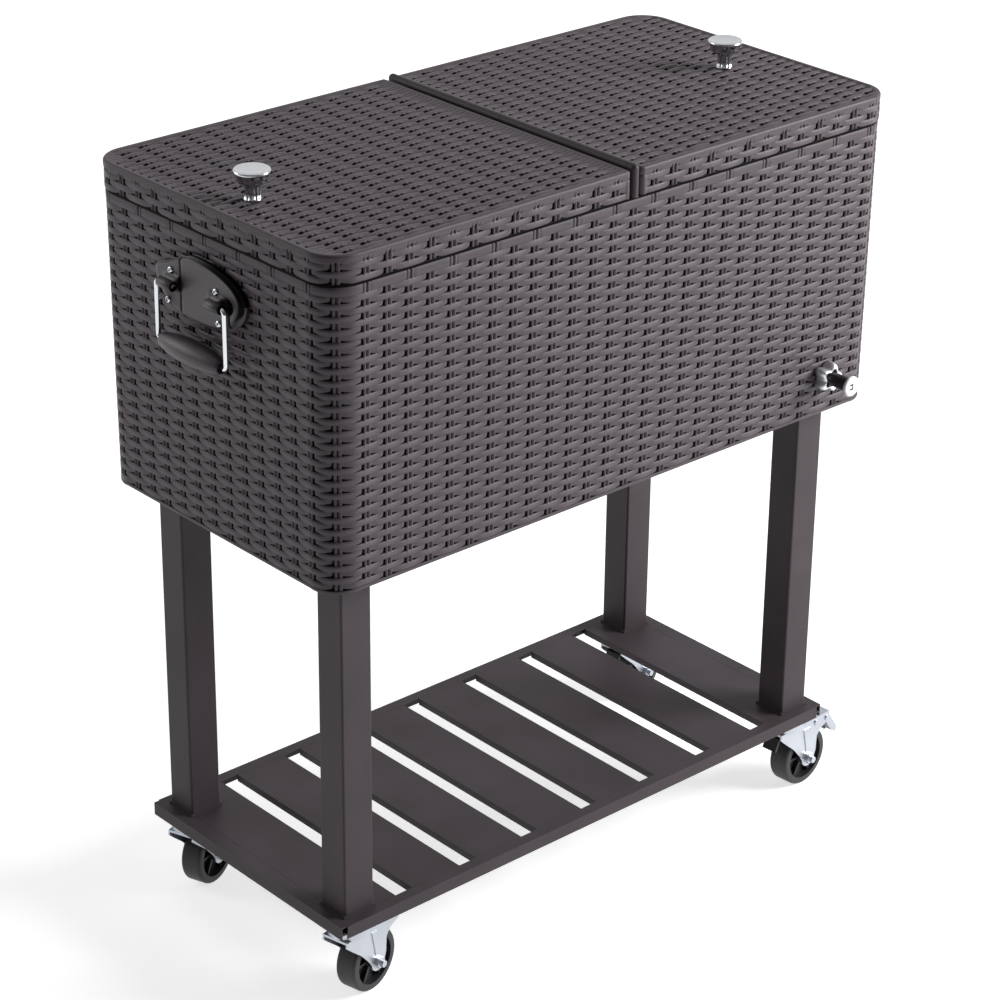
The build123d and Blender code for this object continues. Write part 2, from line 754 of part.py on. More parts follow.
# Leg screws, four for each leg
leg_screws = []
for x, y in leg_screw_places:
    screw = rod(leg_screw_radius, (x, y, leg_plate_low), (x, y, leg_screw_end))
    screw += rod(leg_screw_head, (x, y, leg_plate_low - leg_screw_head_height), (x, y, leg_plate_low))
    leg_screws.append(screw)
save("leg_screws", *leg_screws)

# Caster stems: a threaded stem into the leg, a fixed disc and a riveted kingpin below it
race_radius = 22
kingpin_radius = 4
kingpin_drop = 14.3
kingpin_head_height = 3.7
kingpin_head_radius = 7
stem_length = 26
kingpin_head_high = race_low - kingpin_drop
kingpin_head_low = kingpin_head_high - kingpin_head_height
stem_top = gusset_low + stem_length
stem_profile = [
    (0, kingpin_head_low),
    (kingpin_head_radius, kingpin_head_low),
    (kingpin_head_radius, kingpin_head_high),
    (kingpin_radius, kingpin_head_high),
    (kingpin_radius, race_low),
    (race_radius, race_low),
    (race_radius, gusset_low),
    (stem_radius, gusset_low),
    (stem_radius, stem_top),
    (0, stem_top),
]
save("caster_stems", *[turned(stem_profile, x, y) for x, y in caster_places])

# Casters: a pressed fork, an axle bolt and a wheel, turned about the stem by their trail angle
cheek_thickness = 2
wheel_gap = 2
cheek_in = wheel_width / 2 + wheel_gap
cheek_out = cheek_in + cheek_thickness
dome_gap = 0.5
dome_top = race_low - dome_gap
dome_radius = 24
dome_edge = 4
fork_bore = kingpin_radius + kingpin_ease
axle_radius = 4
axle_hole = axle_radius + hole_ease
axle_head_radius = 7
axle_head_height = 5
axle_bare_end = 9.5
axle_end = cheek_out + axle_bare_end
hex_sides = 6
wheel_bore = axle_radius + running_ease
wheel_edge = 3.5
wheel_rim = 9
hub_gap = 0.4
hub_half = cheek_in - hub_gap
hub_radius = 9.5
well_radius = wheel_radius - wheel_rim
web_half = 3
spoke_half = 1.6
spoke_half_width = 8.5
spoke_count = 6
rivet_radius = 2.2
rivet_head = 3.6
rivet_head_height = 1.4
rivet_hole = rivet_radius + kingpin_ease
pedal_gap = 1
pedal_sheet = 2
pedal_out = cheek_in - pedal_gap
pedal_in = pedal_out - pedal_sheet
blade_gap = 2
blade_half = pedal_in - blade_gap
rib_rise = 1.2


def placed(points, x, z):
    """Outline points moved by the place that they are measured from."""
    return [(x + along, z + up) for along, up in points]


# The fork's outline: its head measured from the stem, its legs and its tail from the axle
fork_head_points = [(-24, 0), (-25, -6.5), (-14, -16.5)]
fork_leg_points = [
    (-28, 21.5),
    (-16, 7.5),
    (-10.8, 0),
    (-9, -6.9),
    (-4, -10.9),
    (2, -11.9),
    (8, -8.9),
    (12, -3.5),
    (15, 5.5),
    (16, 24.5),
]
fork_tail_points = [(22, -18.5), (38, -13), (38, 0)]
rib_points = [(-11, 42.5), (1, 42.5), (6, 9.5), (-4, 9.5)]
fork_head = placed(fork_head_points, 0, fork_top)
fork_leg = placed(fork_leg_points, wheel_trail, wheel_radius)
fork_tail = placed(fork_tail_points, wheel_trail, fork_top)
fork_side = fork_head + fork_leg + fork_tail
rib_side = placed(rib_points, wheel_trail, wheel_radius)

# The brake's pivots and outlines, measured from the axle and the top of the wheel
eye_drop = 0.4
pivot_points = [(34, 5), (13, 6.3)]
brake_pivot, blade_pivot = placed(pivot_points, wheel_trail, wheel_top)
blade_eye_points = [
    (9, 3.8),
    (17, 3.8),
    (17, brake_rise - eye_drop),
    (9, brake_rise - eye_drop),
]
blade_points = [
    (-56, -11),
    (-53, -12),
    (-47, 1.6),
    (17, 1.6),
    (31, -4.4),
    (39.5, -16.5),
    (42.5, -15.5),
    (34, -1.5),
    (19, 4),
    (-49, 4),
]
pedal_points = [
    (28, brake_rise),
    (39, brake_rise),
    (58, -17),
    (57, -23.5),
    (50, -21),
    (37, -4),
    (28, -1),
]
pedal_web_points = [(49, -15), (54, -11.3), (58, -17), (57, -23.5), (50, -21)]
blade_eye = placed(blade_eye_points, wheel_trail, wheel_top)
blade_side = placed(blade_points, wheel_trail, wheel_top)
pedal_side = placed(pedal_points, wheel_trail, wheel_top)
pedal_web = placed(pedal_web_points, wheel_trail, wheel_top)


def hexagon(radius, x, z, back, front):
    """A hexagon bar across the caster between two values of y."""
    standing = Plane(origin=(x, front, z), x_dir=(1, 0, 0), z_dir=(0, -1, 0))
    return standing * extrude(RegularPolygon(radius, hex_sides), amount=front - back)


def crosswise(radius, place, y_span):
    """A round bar across the caster at an (x, z) place."""
    return rod(radius, (place[0], y_span[0], place[1]), (place[0], y_span[1], place[1]))


def make_fork(braked):
    """The pressed fork with its dome, bored for the kingpin, the axle and any rivets."""
    fork = side_plate(fork_side, both(cheek_out))
    inner = side_plate(fork_side, both(cheek_in))
    fork -= inner & block(both(body_length), both(cheek_in), (0, fork_top - fork_sheet))
    for y_span in ((cheek_out, cheek_out + rib_rise), (-cheek_out - rib_rise, -cheek_out)):
        fork += side_plate(rib_side, y_span)
    dome = Pos(0, 0, fork_top) * Cylinder(
        dome_radius, dome_top - fork_top, align=(Align.CENTER, Align.CENTER, Align.MIN)
    )
    fork += fillet(dome.edges().group_by(Axis.Z)[-1], dome_edge)
    fork -= rod(fork_bore, (0, 0, fork_top - fork_sheet), (0, 0, dome_top))
    fork -= crosswise(axle_hole, (wheel_trail, wheel_radius), both(cheek_out))
    if braked:
        for place in (brake_pivot, blade_pivot):
            fork -= crosswise(rivet_hole, place, both(cheek_out))
    return fork


def make_axle():
    """The axle bolt with its head at the back and its nut and bare end at the front."""
    place = (wheel_trail, wheel_radius)
    axle = crosswise(axle_radius, place, (-axle_end, cheek_out + axle_head_height))
    axle += hexagon(axle_head_radius, *place, cheek_out, cheek_out + axle_head_height)
    axle += hexagon(axle_head_radius, *place, -cheek_out - axle_head_height, -cheek_out)
    return axle


def make_wheel():
    """The moulded wheel with a well on each side, a web and six spokes."""
    half = wheel_width / 2
    wheel = Cylinder(wheel_radius, wheel_width)
    wheel = fillet(wheel.edges().filter_by(GeomType.CIRCLE), wheel_edge)
    well = Cylinder(well_radius, half - web_half, align=(Align.CENTER, Align.CENTER, Align.MIN))
    wheel -= Pos(0, 0, web_half) * well
    wheel -= Pos(0, 0, -half) * well
    for index in range(spoke_count):
        spoke = block((0, well_radius + spoke_half), both(spoke_half), both(spoke_half_width))
        wheel += Rot(0, 0, index * whole_turn / spoke_count) * spoke
    wheel += Cylinder(hub_radius, 2 * hub_half)
    wheel -= Cylinder(wheel_bore, 2 * hub_half)
    return Pos(wheel_trail, 0, wheel_radius) * Rot(90, 0, 0) * wheel


def make_rivets():
    """The blade's rivet and the pedal's pivot rivet, each headed on both sides."""
    rivets = []
    for place in (blade_pivot, brake_pivot):
        rivet = crosswise(rivet_radius, place, both(cheek_out))
        for low in (-cheek_out - rivet_head_height, cheek_out):
            rivet += crosswise(rivet_head, place, (low, low + rivet_head_height))
        rivets.append(rivet)
    return rivets


def make_blade():
    """The brake blade that reaches over the wheel and bends down at both ends."""
    blade = side_plate(blade_side, both(blade_half)) + side_plate(blade_eye, both(blade_half))
    return blade - crosswise(rivet_hole, blade_pivot, both(blade_half))


def make_pedal():
    """The foot pedal, two arms on the pivot rivet joined by a sloping tread."""
    pedal = side_plate(pedal_web, both(pedal_out))
    for y_span in ((pedal_in, pedal_out), (-pedal_out, -pedal_in)):
        pedal += side_plate(pedal_side, y_span)
    return pedal - crosswise(rivet_hole, brake_pivot, both(pedal_out))


# Each caster with the angle that its trail has turned to, and whether it carries a brake
caster_angles = {"front_left": 13, "front_right": 4, "rear_left": 20, "rear_right": 10}
braked_casters = ["front_right", "rear_right"]
for (name, angle), place in zip(caster_angles.items(), caster_places):
    stand = Pos(place[0], place[1], 0) * Rot(0, 0, angle)
    braked = name in braked_casters
    save("fork_" + name, stand * make_fork(braked))
    save("axle_" + name, stand * make_axle())
    save("wheel_" + name, stand * make_wheel())
    if braked:
        save("brake_rivets_" + name, *[stand * rivet for rivet in make_rivets()])
        save("brake_blade_" + name, stand * make_blade())
        save("brake_pedal_" + name, stand * make_pedal())
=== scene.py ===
from math import cos, radians, sin

import bpy
import numpy as np
from mathutils import Matrix, Vector


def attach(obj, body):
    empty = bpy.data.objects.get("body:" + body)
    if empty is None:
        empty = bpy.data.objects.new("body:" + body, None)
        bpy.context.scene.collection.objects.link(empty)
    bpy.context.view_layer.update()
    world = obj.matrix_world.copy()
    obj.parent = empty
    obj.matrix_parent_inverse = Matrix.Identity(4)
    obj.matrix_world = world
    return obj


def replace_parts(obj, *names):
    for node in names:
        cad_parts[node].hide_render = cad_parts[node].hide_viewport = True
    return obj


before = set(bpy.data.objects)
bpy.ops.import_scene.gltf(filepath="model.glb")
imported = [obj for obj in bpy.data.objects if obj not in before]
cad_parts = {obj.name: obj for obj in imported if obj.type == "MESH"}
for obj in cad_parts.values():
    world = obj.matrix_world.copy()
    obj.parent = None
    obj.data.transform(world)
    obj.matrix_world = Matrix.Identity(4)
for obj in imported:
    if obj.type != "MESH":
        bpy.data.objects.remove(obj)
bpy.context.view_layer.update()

# The photograph: taken from the left of the tub's front, above the lids, with a long lens
# against plain white paper, under broad soft light that comes mostly from the right of the front.
camera_place = (-2.098191, -2.317632, 1.963456)
yaw = radians(-41.892)
pitch = radians(25.770)
roll = radians(0.666)
ahead = Vector((-sin(yaw) * cos(pitch), cos(yaw) * cos(pitch), -sin(pitch)))
level = Vector((cos(yaw), sin(yaw), 0))
upward = level.cross(ahead)
right = level * cos(roll) + upward * sin(roll)
up = upward * cos(roll) - level * sin(roll)
camera_data = bpy.data.cameras.new("camera")
camera_data.sensor_width = 36
camera_data.sensor_fit = "HORIZONTAL"
camera_data.lens = 110.906
camera_data.clip_end = 50
camera = bpy.data.objects.new("camera", camera_data)
bpy.context.scene.collection.objects.link(camera)
facing = Matrix((right, up, -ahead)).transposed().to_4x4()
camera.matrix_world = Matrix.Translation(camera_place) @ facing
bpy.context.scene.camera = camera
bpy.context.scene.view_settings.view_transform = "Standard"

# Soft boxes: square lamps behind cloth, aimed at the middle of the tub. The key stands at the right
# of the front, and a weak one behind on the left only lifts the rear edges.
tub_aim = Vector((0, 0, 0.6))
soft_boxes = [
    # name, place and side in metres, and watts
    ("key_softbox", (2.4, -2.0, 1.9), 1.6, 152),
    ("rear_softbox", (-1.9, 2.5, 1.8), 1.4, 22),
]
for name, place, side, watts in soft_boxes:
    lamp = bpy.data.lights.new(name, "AREA")
    lamp.shape = "RECTANGLE"
    lamp.size = side
    lamp.size_y = side
    lamp.energy = watts
    holder = bpy.data.objects.new(name, lamp)
    holder.location = place
    holder.rotation_euler = (tub_aim - Vector(place)).to_track_quat("-Z", "Y").to_euler()
    bpy.context.scene.collection.objects.link(holder)

# The room: seen directly it is plain white, and mirrored in the chrome nearly so. It is dark behind
# the camera, so the world fades towards it, which keeps the near corner dark and gives the chrome
# its dark edges.


def linear(code):
    """The linear colour of an sRGB hex code: each channel over 255, with the sRGB curve undone."""
    share = np.array([int(code[place:place + 2], 16) for place in (1, 3, 5)]) / 255
    straight = np.where(share <= 0.04045, share / 12.92, ((share + 0.055) / 1.055) ** 2.4)
    return (*straight.tolist(), 1)


def add(tree, kind, links=None, **settings):
    """Adds one shader node with its properties, and fills or links its sockets by name or index."""
    made = tree.nodes.new("ShaderNode" + kind)
    for name, value in settings.items():
        setattr(made, name, value)
    for socket, value in (links or {}).items():
        if isinstance(value, bpy.types.NodeSocket):
            tree.links.new(value, made.inputs[socket])
        else:
            made.inputs[socket].default_value = value
    return made


towards_camera = (-0.67, -0.74, 0.1)
world = bpy.data.worlds.new("studio")
bpy.context.scene.world = world
world.use_nodes = True
tree = world.node_tree
tree.nodes.clear()
ray = add(tree, "LightPath").outputs
seen = {0: ray["Is Camera Ray"], 1: ray["Is Transmission Ray"]}
seen = add(tree, "Math", seen, operation="MAXIMUM").outputs[0]
behind = {0: add(tree, "TexCoord").outputs["Generated"], 1: towards_camera}
behind = add(tree, "VectorMath", behind, operation="DOT_PRODUCT").outputs["Value"]
fading = {"Value": behind, "From Min": -0.35, "From Max": 0.75, "To Min": 1.0, "To Max": 0.12}
fading = add(tree, "MapRange", fading).outputs[0]
lit = {"Value": ray["Is Glossy Ray"], "To Min": 0.3, "To Max": 0.8}
lit = add(tree, "MapRange", lit).outputs[0]
lit = add(tree, "Math", {0: lit, 1: fading}, operation="MULTIPLY").outputs[0]
strength = add(tree, "Math", {0: seen, 1: lit}, operation="MAXIMUM").outputs[0]
room = add(tree, "Background", {"Color": linear("#ffffff"), "Strength": strength})
add(tree, "OutputWorld", {"Surface": room.outputs[0]})

# The floor: white paper that keeps the soft shade under the trolley. It glows where it is seen,
# and fully so from 3.5 m away, so it has no visible edge.


def blank(name):
    """A new material and its empty node tree."""
    material = bpy.data.materials.new(name)
    material.use_nodes = True
    material.node_tree.nodes.clear()
    return material, material.node_tree


paper_half = 9
sheet = bpy.data.meshes.new("paper_floor")
corners = [(x * paper_half, y * paper_half, 0) for x, y in ((-1, -1), (1, -1), (1, 1), (-1, 1))]
sheet.from_pydata(corners, [], [(0, 1, 2, 3)])
floor = bpy.data.objects.new("paper_floor", sheet)
bpy.context.scene.collection.objects.link(floor)
white_paper, tree = blank("white_paper")
ray = add(tree, "LightPath").outputs
seen = ray["Is Camera Ray"]
for kind in ("Is Glossy Ray", "Is Transmission Ray"):
    seen = add(tree, "Math", {0: seen, 1: ray[kind]}, operation="MAXIMUM").outputs[0]
away = {0: add(tree, "TexCoord").outputs["Object"]}
away = add(tree, "VectorMath", away, operation="LENGTH").outputs["Value"]
full = {"Value": away, "From Min": 0.9, "From Max": 3.5, "To Min": 0.68, "To Max": 1.0}
full = add(tree, "MapRange", full).outputs[0]
strength = add(tree, "Math", {0: seen, 1: full}, operation="MULTIPLY").outputs[0]
glow = add(tree, "Emission", {"Color": linear("#ffffff"), "Strength": strength})
matt = add(tree, "BsdfDiffuse", {"Color": linear("#e2e2e2")})
paper = add(tree, "AddShader", {0: matt.outputs[0], 1: glow.outputs[0]})
add(tree, "OutputMaterial", {"Surface": paper.outputs[0]})
sheet.materials.append(white_paper)

# Trolley: four square legs and a slatted shelf of mild steel, welded, powder coated dark brown and
# screwed together through the plates at the legs' ends. Their shape is the frame's own.
mm = 0.001


def speckled(name, pale, deep, rough, grain_mm, bump_mm, metallic=0, shine=0.5):
    """A finish whose colour wanders between two tones and whose skin has a grain of one real size.

    Clouds of noise, 14 to the metre, mix the tones. A finer noise with cells grain_mm wide moves
    the roughness from 0.05 below rough to 0.07 above it, and lifts the skin by bump_mm.
    """
    material, tree = blank(name)
    spot = add(tree, "TexCoord").outputs["Object"]
    cloud = add(tree, "TexNoise", {"Vector": spot, "Scale": 14.0, "Detail": 2.0}).outputs["Fac"]
    cloud = {"Value": cloud, "From Min": 0.35, "From Max": 0.68}
    cloud = add(tree, "MapRange", cloud).outputs[0]
    tone = add(tree, "Mix", {0: cloud, 6: linear(deep), 7: linear(pale)}, data_type="RGBA")
    grain = {"Vector": spot, "Scale": 1000 / grain_mm, "Detail": 2.0}
    grain = add(tree, "TexNoise", grain).outputs["Fac"]
    gloss = {"Value": grain, "To Min": rough - 0.05, "To Max": rough + 0.07}
    bump = add(tree, "Bump", {"Height": grain, "Strength": 0.35, "Distance": bump_mm * mm})
    skin = {
        "Base Color": tone.outputs[2],
        "Roughness": add(tree, "MapRange", gloss).outputs[0],
        "Normal": bump.outputs[0],
        "Metallic": metallic,
        "Specular IOR Level": shine,
    }
    skin = add(tree, "BsdfPrincipled", skin)
    add(tree, "OutputMaterial", {"Surface": skin.outputs[0]})
    return material


def dress(material, *names):
    """Gives pieces of the frame their finish in place of the plain one they came with."""
    for name in names:
        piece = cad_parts[name]
        piece.data.materials.clear()
        piece.data.materials.append(material)


# Baked polyester powder: satin brown with a faint orange peel, so lamps blur into a soft sheen.
powder_coat = speckled("powder_coated_steel", "#443c41", "#3d363a", 0.52, 0.9, 0.02, shine=0.3)
# Bright zinc under a clear passivation: pale bluish grey, which mirrors the room as a soft blur.
zinc_plate = speckled("zinc_plated_steel", "#c9cdd4", "#b9bec7", 0.34, 3.0, 0.01, metallic=0.85)
dress(powder_coat, "leg_front_left", "leg_front_right", "leg_rear_left", "leg_rear_right")
dress(powder_coat, "shelf_frame", "shelf_slats")
dress(zinc_plate, "leg_screws", "caster_stems")

# Casters: a moulded wheel turns on a bolt in a fork of pressed and zinc plated steel, which swivels
# under a stem in the shelf's corner. The two on the right have a riveted brake blade and a pedal.

# Polypropylene from a textured mould: nearly black, with a broad grey sheen on the tread.
wheel_plastic = speckled("moulded_polypropylene_wheel", "#2c2c2f", "#232326", 0.5, 1.5, 0.03)
# Spring steel blackened in hot oil: bluish black and half bright.
black_spring = speckled("blackened_spring_steel", "#242326", "#1b1a1c", 0.4, 1.0, 0.02)
for place in ("front_left", "front_right", "rear_left", "rear_right"):
    dress(wheel_plastic, "wheel_" + place)
    dress(zinc_plate, "fork_" + place, "axle_" + place)
for place in ("front_right", "rear_right"):
    dress(zinc_plate, "brake_rivets_" + place, "brake_pedal_" + place)
    dress(black_spring, "brake_blade_" + place)

# Inside of the tub: a white liner, vacuum formed from one polystyrene sheet, hangs by its flange on
# the shell's rim. Foam fills the gap between the two, and a nylon panel closes the bottom.
tub_middle = 20.9
rim_length = 391.5
rim_depth = 190
rim_corner = 566
flange_low = 861.5


def darken(material, share, deep):
    """Paints shade: blends a finish in proportion to share into a dark tone, and takes its gloss
    away with it.
    """
    tree = material.node_tree
    skin = tree.nodes["Principled BSDF"].inputs
    tone = {0: share, 6: skin["Base Color"].links[0].from_socket, 7: linear(deep)}
    tone = add(tree, "Mix", tone, data_type="RGBA").outputs[2]
    tree.links.new(tone, skin["Base Color"])
    if not skin["Metallic"].default_value:
        shine = skin["Specular IOR Level"].default_value
        dull = add(tree, "MapRange", {"Value": share, "To Min": shine, "To Max": 0.03})
        tree.links.new(dull.outputs[0], skin["Specular IOR Level"])


# Vacuum formed polystyrene: an even milky white, glossy, with the sheet's faint waviness.
liner_plastic = speckled("vacuum_formed_polystyrene", "#e4e4e0", "#dcdcd8", 0.35, 2.0, 0.02)
# Foamed polyurethane: straw coloured and dull, with a skin of small cells.
rigid_foam = speckled("foamed_polyurethane", "#e0d2a0", "#d3c48f", 0.85, 1.5, 0.2)
# Moulded nylon: charcoal, with the soft shine of a lightly etched mould.
dark_nylon = speckled("moulded_nylon", "#242223", "#1d1b1c", 0.4, 1.2, 0.03)

# The flange's rim all round the tub is painted near black and without gloss, as painted shade, so
# the seam below the lids reads as a dark line. The rim is what lies beyond a length from the tub's
# middle, beyond a depth, or at a corner beyond the sum of both.
tree = liner_plastic.node_tree
past = {0: add(tree, "TexCoord").outputs["Object"], 1: (0, tub_middle * mm, 0)}
past = add(tree, "VectorMath", past, operation="SUBTRACT").outputs[0]
past = add(tree, "VectorMath", {0: past}, operation="ABSOLUTE").outputs[0]
past_x, past_y, height = add(tree, "SeparateXYZ", {0: past}).outputs
past_both = add(tree, "Math", {0: past_x, 1: past_y}, operation="ADD").outputs[0]
rim = 0
for past, limit in ((past_x, rim_length), (past_y, rim_depth), (past_both, rim_corner)):
    beyond = add(tree, "Math", {0: past, 1: limit * mm}, operation="GREATER_THAN").outputs[0]
    rim = add(tree, "Math", {0: rim, 1: beyond}, operation="MAXIMUM").outputs[0]
high = add(tree, "Math", {0: height, 1: flange_low * mm}, operation="GREATER_THAN").outputs[0]
rim = add(tree, "Math", {0: rim, 1: high}, operation="MULTIPLY").outputs[0]
darken(liner_plastic, rim, "#0d0b0c")
dress(liner_plastic, "liner", "centre_beam")
dress(rigid_foam, "insulation")
dress(dark_nylon, "base_panel")

# Outer shell of the tub: one moulded wall of dark brown resin that copies a plain rattan weave.
# Flat strands run round the tub, and pairs of round canes pass over and under them in turn. The
# wall leans in towards the bottom by the mould's draft. Sizes are in millimetres.
half_length = 399
half_depth = 197.5
body_corner = 36
body_low = 530
body_high = 862
end_lean = 0.5
side_lean = 3
wall_thick = 3.1
deepest = 2.9
row_pitch = 6.75
row_zero = 807.9
strand_half = 3.2
cane_pitch = 27.6
cane_offset = 6.3
end_pitch = 27.7
end_offset = 4.4
half_pitch = 13.8
cane_out = 2.75
cane_radius = 1.65
cane_sunk = 0.15
window_half = 4.3
window_floor = 1.7
pocket_short = 2.5
pocket_longer = 3.5
pocket_deep = 1.75
wedge_from = 13.3
wedge_to = 4.5
wedge_lift = 2.7
# where the wall has points: distances from the middle of a pair of canes, more of them on the
# rounded corners, and distances from the middle of a strand, the first two in the groove below it
cane_steps = np.array([
    -13.8, -10.8, -7.9, -6, -4.5, -4.05, -2.75, -1.45, -1,
    0, 1, 1.45, 2.75, 4.05, 4.5, 6, 7.9, 10.8,
])
bent_steps = np.sort(np.append(cane_steps, (-12.3, -9.3, 9.3, 12.3)))
row_steps = np.array([-3.3, -3.05, 0.6, 3.1])


def ease(value, low, high):
    """The smooth step: 0 below low, 1 above high, and 3t*t - 2t*t*t between them."""
    share = np.clip((value - low) / (high - low), 0, 1)
    return share * share * (3 - 2 * share)


def weave(along, across, canes_over, longer=pocket_longer):
    """The weave's relief: its depth, how far each point slides up, and its painted shade.

    All are millimetres. along is the distance from the nearest pair of canes, and across the
    distance from the flat strand's middle. A strand rises and falls along a cosine between the pair
    that it covers and the pair that it dives under, and its edges fall off by a fourth power. It
    dives steeply before a pair, which leaves a pocket there that is longer by that much, and lies
    close to it after the pair. The lower edge of a diving strand slides up in proportion to the way
    gone to its pair, which opens a wedge below it. A cane is a circle's arc that sinks towards the
    ends of its window by a square. The last value is the painted shade: above zero inside the
    wedge, the pockets and the gap between a pair's canes, which are painted near black, and below
    zero elsewhere, lowest on the strands' crests, which are painted pale as a highlight.
    """
    reach = np.abs(along)
    groove = across < -strand_half
    edge = np.abs(across) / strand_half
    end = pocket_short + np.where(along < 0, longer, 0)
    nearest = np.maximum(end, wedge_to)
    way = 1 - np.clip((reach - nearest) / (wedge_from - nearest), 0, 1)
    wave = np.cos(np.pi * reach / (2 * half_pitch))
    dive = 0.5 * np.where(canes_over, 1 + wave, 1 - wave)
    pocket = canes_over & (reach > window_half)
    window = canes_over & (reach < window_half)

    strand = dive + 0.25 * edge**4
    strand = np.where(pocket, strand + pocket_deep * (1 - ease(reach, end, end + 1.9)), strand)
    strand = np.where(groove, strand + np.where(canes_over, 0.45 + 0.7 * way, 0.25), strand)
    slide = np.where(pocket & (np.abs(across - row_steps[1]) < 0.1), wedge_lift * way, 0)
    off = np.abs(reach - cane_out)
    arc = np.sqrt(np.clip(cane_radius**2 - off**2, 0, None))
    cane = cane_radius + cane_sunk - arc + 0.5 * edge**2
    pair = np.where(off < 1.4, cane, window_floor)
    depth = np.minimum(np.where(window, pair, strand), deepest)

    # painted highlight on the strands, palest on their crests, and painted shade in the groove
    # below a diving strand
    crest_highlight = -0.35 * (1 - edge) - 0.12 - 0.5 * (1 - dive)
    inside = np.where(groove, np.where(canes_over, 0.02 + 1.5 * way, -0.05), crest_highlight)
    # painted shade: a pocket is painted near black up to its end
    pocket_shade = end + 0.1 - reach - 0.35 * edge * (across > 0)
    inside = np.where(pocket & ~groove, np.maximum(inside, pocket_shade), inside)
    # painted shade in the gap between a pair's canes
    between = np.where(reach < 1.2, 0.28 - reach * 0.3, -0.5)
    inside = np.where(window, np.where(groove, 0.25, between), inside)
    return depth, slide, inside


def outline(x_span, y_span, radii):
    """Stops along a rectangle with rounded corners, and what changes evenly between them.

    It starts at the left of the front and runs round by the right. radii are those of the front
    left, front right, rear right and rear left corner. Between two stops the middle of the corner's
    arc, its radius and the outward angle all change in proportion to the way gone.
    """
    front_left, front_right, rear_right, rear_left = radii
    (x0, x1), (y0, y1) = x_span, y_span
    steps = [
        0,
        x1 - x0 - front_left - front_right,
        front_right * np.pi / 2,
        y1 - y0 - front_right - rear_right,
        rear_right * np.pi / 2,
        x1 - x0 - rear_right - rear_left,
        rear_left * np.pi / 2,
        y1 - y0 - rear_left - front_left,
        front_left * np.pi / 2,
    ]
    radius = np.repeat([*radii, front_left], [1, 2, 2, 2, 2])
    inward_x = np.array([1, -1, -1, -1, -1, 1, 1, 1, 1])
    inward_y = np.array([1, 1, 1, -1, -1, -1, -1, 1, 1])
    middle_x = np.where(inward_x > 0, x0, x1) + inward_x * radius
    middle_y = np.where(inward_y > 0, y0, y1) + inward_y * radius
    angle = np.array([-1, -1, 0, 0, 1, 1, 2, 2, 3]) * np.pi / 2
    return np.cumsum(steps), middle_x, middle_y, radius, angle


def follow(path, along):
    """The arc's middle, radius and outward angle at places on an outline, read between its stops.

    A place past the outline's end is taken from its start again.
    """
    stops, *values = path
    return [np.interp(np.mod(along, stops[-1]), stops, value) for value in values]


def long_side(path, along):
    """1 where the outline faces the front or the back, and -1 where it faces an end."""
    return np.where(np.abs(np.sin(follow(path, along)[3])) > 0.7, 1, -1)


def cane_places(path, front, right, back, left):
    """Where each pair of canes stands on an outline, from x on the long sides and y on the ends.

    The pair on a rounded corner stands a little nearer to the long side than the arc's middle.
    """
    stops, middle_x, middle_y = path[:3]
    nearer = 4.5
    places = [
        stops[0] + np.array(front) - middle_x[0],
        [(stops[1] + stops[2]) / 2 - nearer] * (len(right) > 0),
        stops[2] + np.array(right) - middle_y[2],
        [(stops[3] + stops[4]) / 2 + nearer] * (len(right) > 0),
        stops[4] + middle_x[4] - np.array(back)[::-1],
        [(stops[5] + stops[6]) / 2 - nearer] * (len(left) > 0),
        stops[6] + middle_y[6] - np.array(left)[::-1],
        [(stops[7] + stops[8]) / 2 + nearer] * (len(left) > 0),
    ]
    return np.concatenate(places)


def spread(pairs, edges, steps):
    """Places along the outline for each pair of canes, and their nominal distances from the pair.

    Distances near the pair are kept, and those beyond 8 mm stretch to reach the edge between pairs.
    """
    places = []
    for pair, low, high in zip(pairs, edges[:-1], edges[1:]):
        far = np.where(steps < 0, steps * (pair - low), steps * (high - pair)) / half_pitch
        places.append(pair + np.where(np.abs(steps) > 8, far, steps))
    return np.concatenate(places), np.tile(steps, len(pairs))


def strands(rows, zero):
    """The lines along each strand: height, the strand's number, and distance from its middle.

    A strand's middle is its number times the pitch above the height of strand zero.
    """
    height = (zero + row_pitch * rows[:, None] + row_steps).ravel()
    return height, np.repeat(rows, len(row_steps)), np.tile(row_steps, len(rows))


def beside_canes(offset):
    """True between a pair's two canes, and just outside them."""
    return (np.abs(offset) < 4.6) & (np.abs(np.abs(offset) - cane_out) > 1.35)


def stacked(columns, *stretches):
    """Joins the stretches of a section, each given as its heights, depths, slides and shades.

    A value that doesn't change along or round a stretch is repeated over its grid.
    """
    column = np.zeros((columns, 1))
    grids = [np.broadcast_arrays(*stretch, column)[:-1] for stretch in stretches]
    return [np.hstack(values) for values in zip(*grids)]


def grid_faces(rows, columns, wrap_rows=False, wrap_columns=False):
    """The four sided faces between the points of a grid, which may close on itself either way."""
    index = np.arange(rows * columns).reshape(rows, columns)
    if wrap_rows:
        index = np.vstack([index, index[:1]])
    if wrap_columns:
        index = np.hstack([index, index[:, :1]])
    quads = np.stack([index[:-1, :-1], index[1:, :-1], index[1:, 1:], index[:-1, 1:]], -1)
    return quads.reshape(-1, 4)


def mesh_object(name, points, faces, material):
    """A smooth shaded mesh object at the origin from points in metres, with one material."""
    mesh = bpy.data.meshes.new(name)
    mesh.from_pydata(np.asarray(points, float).reshape(-1, 3).tolist(), [], faces)
    mesh.polygons.foreach_set("use_smooth", np.full(len(mesh.polygons), True))
    mesh.materials.append(material)
    mesh.update()
    made = bpy.data.objects.new(name, mesh)
    bpy.context.scene.collection.objects.link(made)
    return made


def set_shade(made, values):
    """Stores on each point of the mesh its painted shade: how dark its material is painted there.
    """
    layer = made.data.attributes.new("shade", "FLOAT", "POINT")
    layer.data.foreach_set("value", np.ascontiguousarray(values, np.float32).ravel())
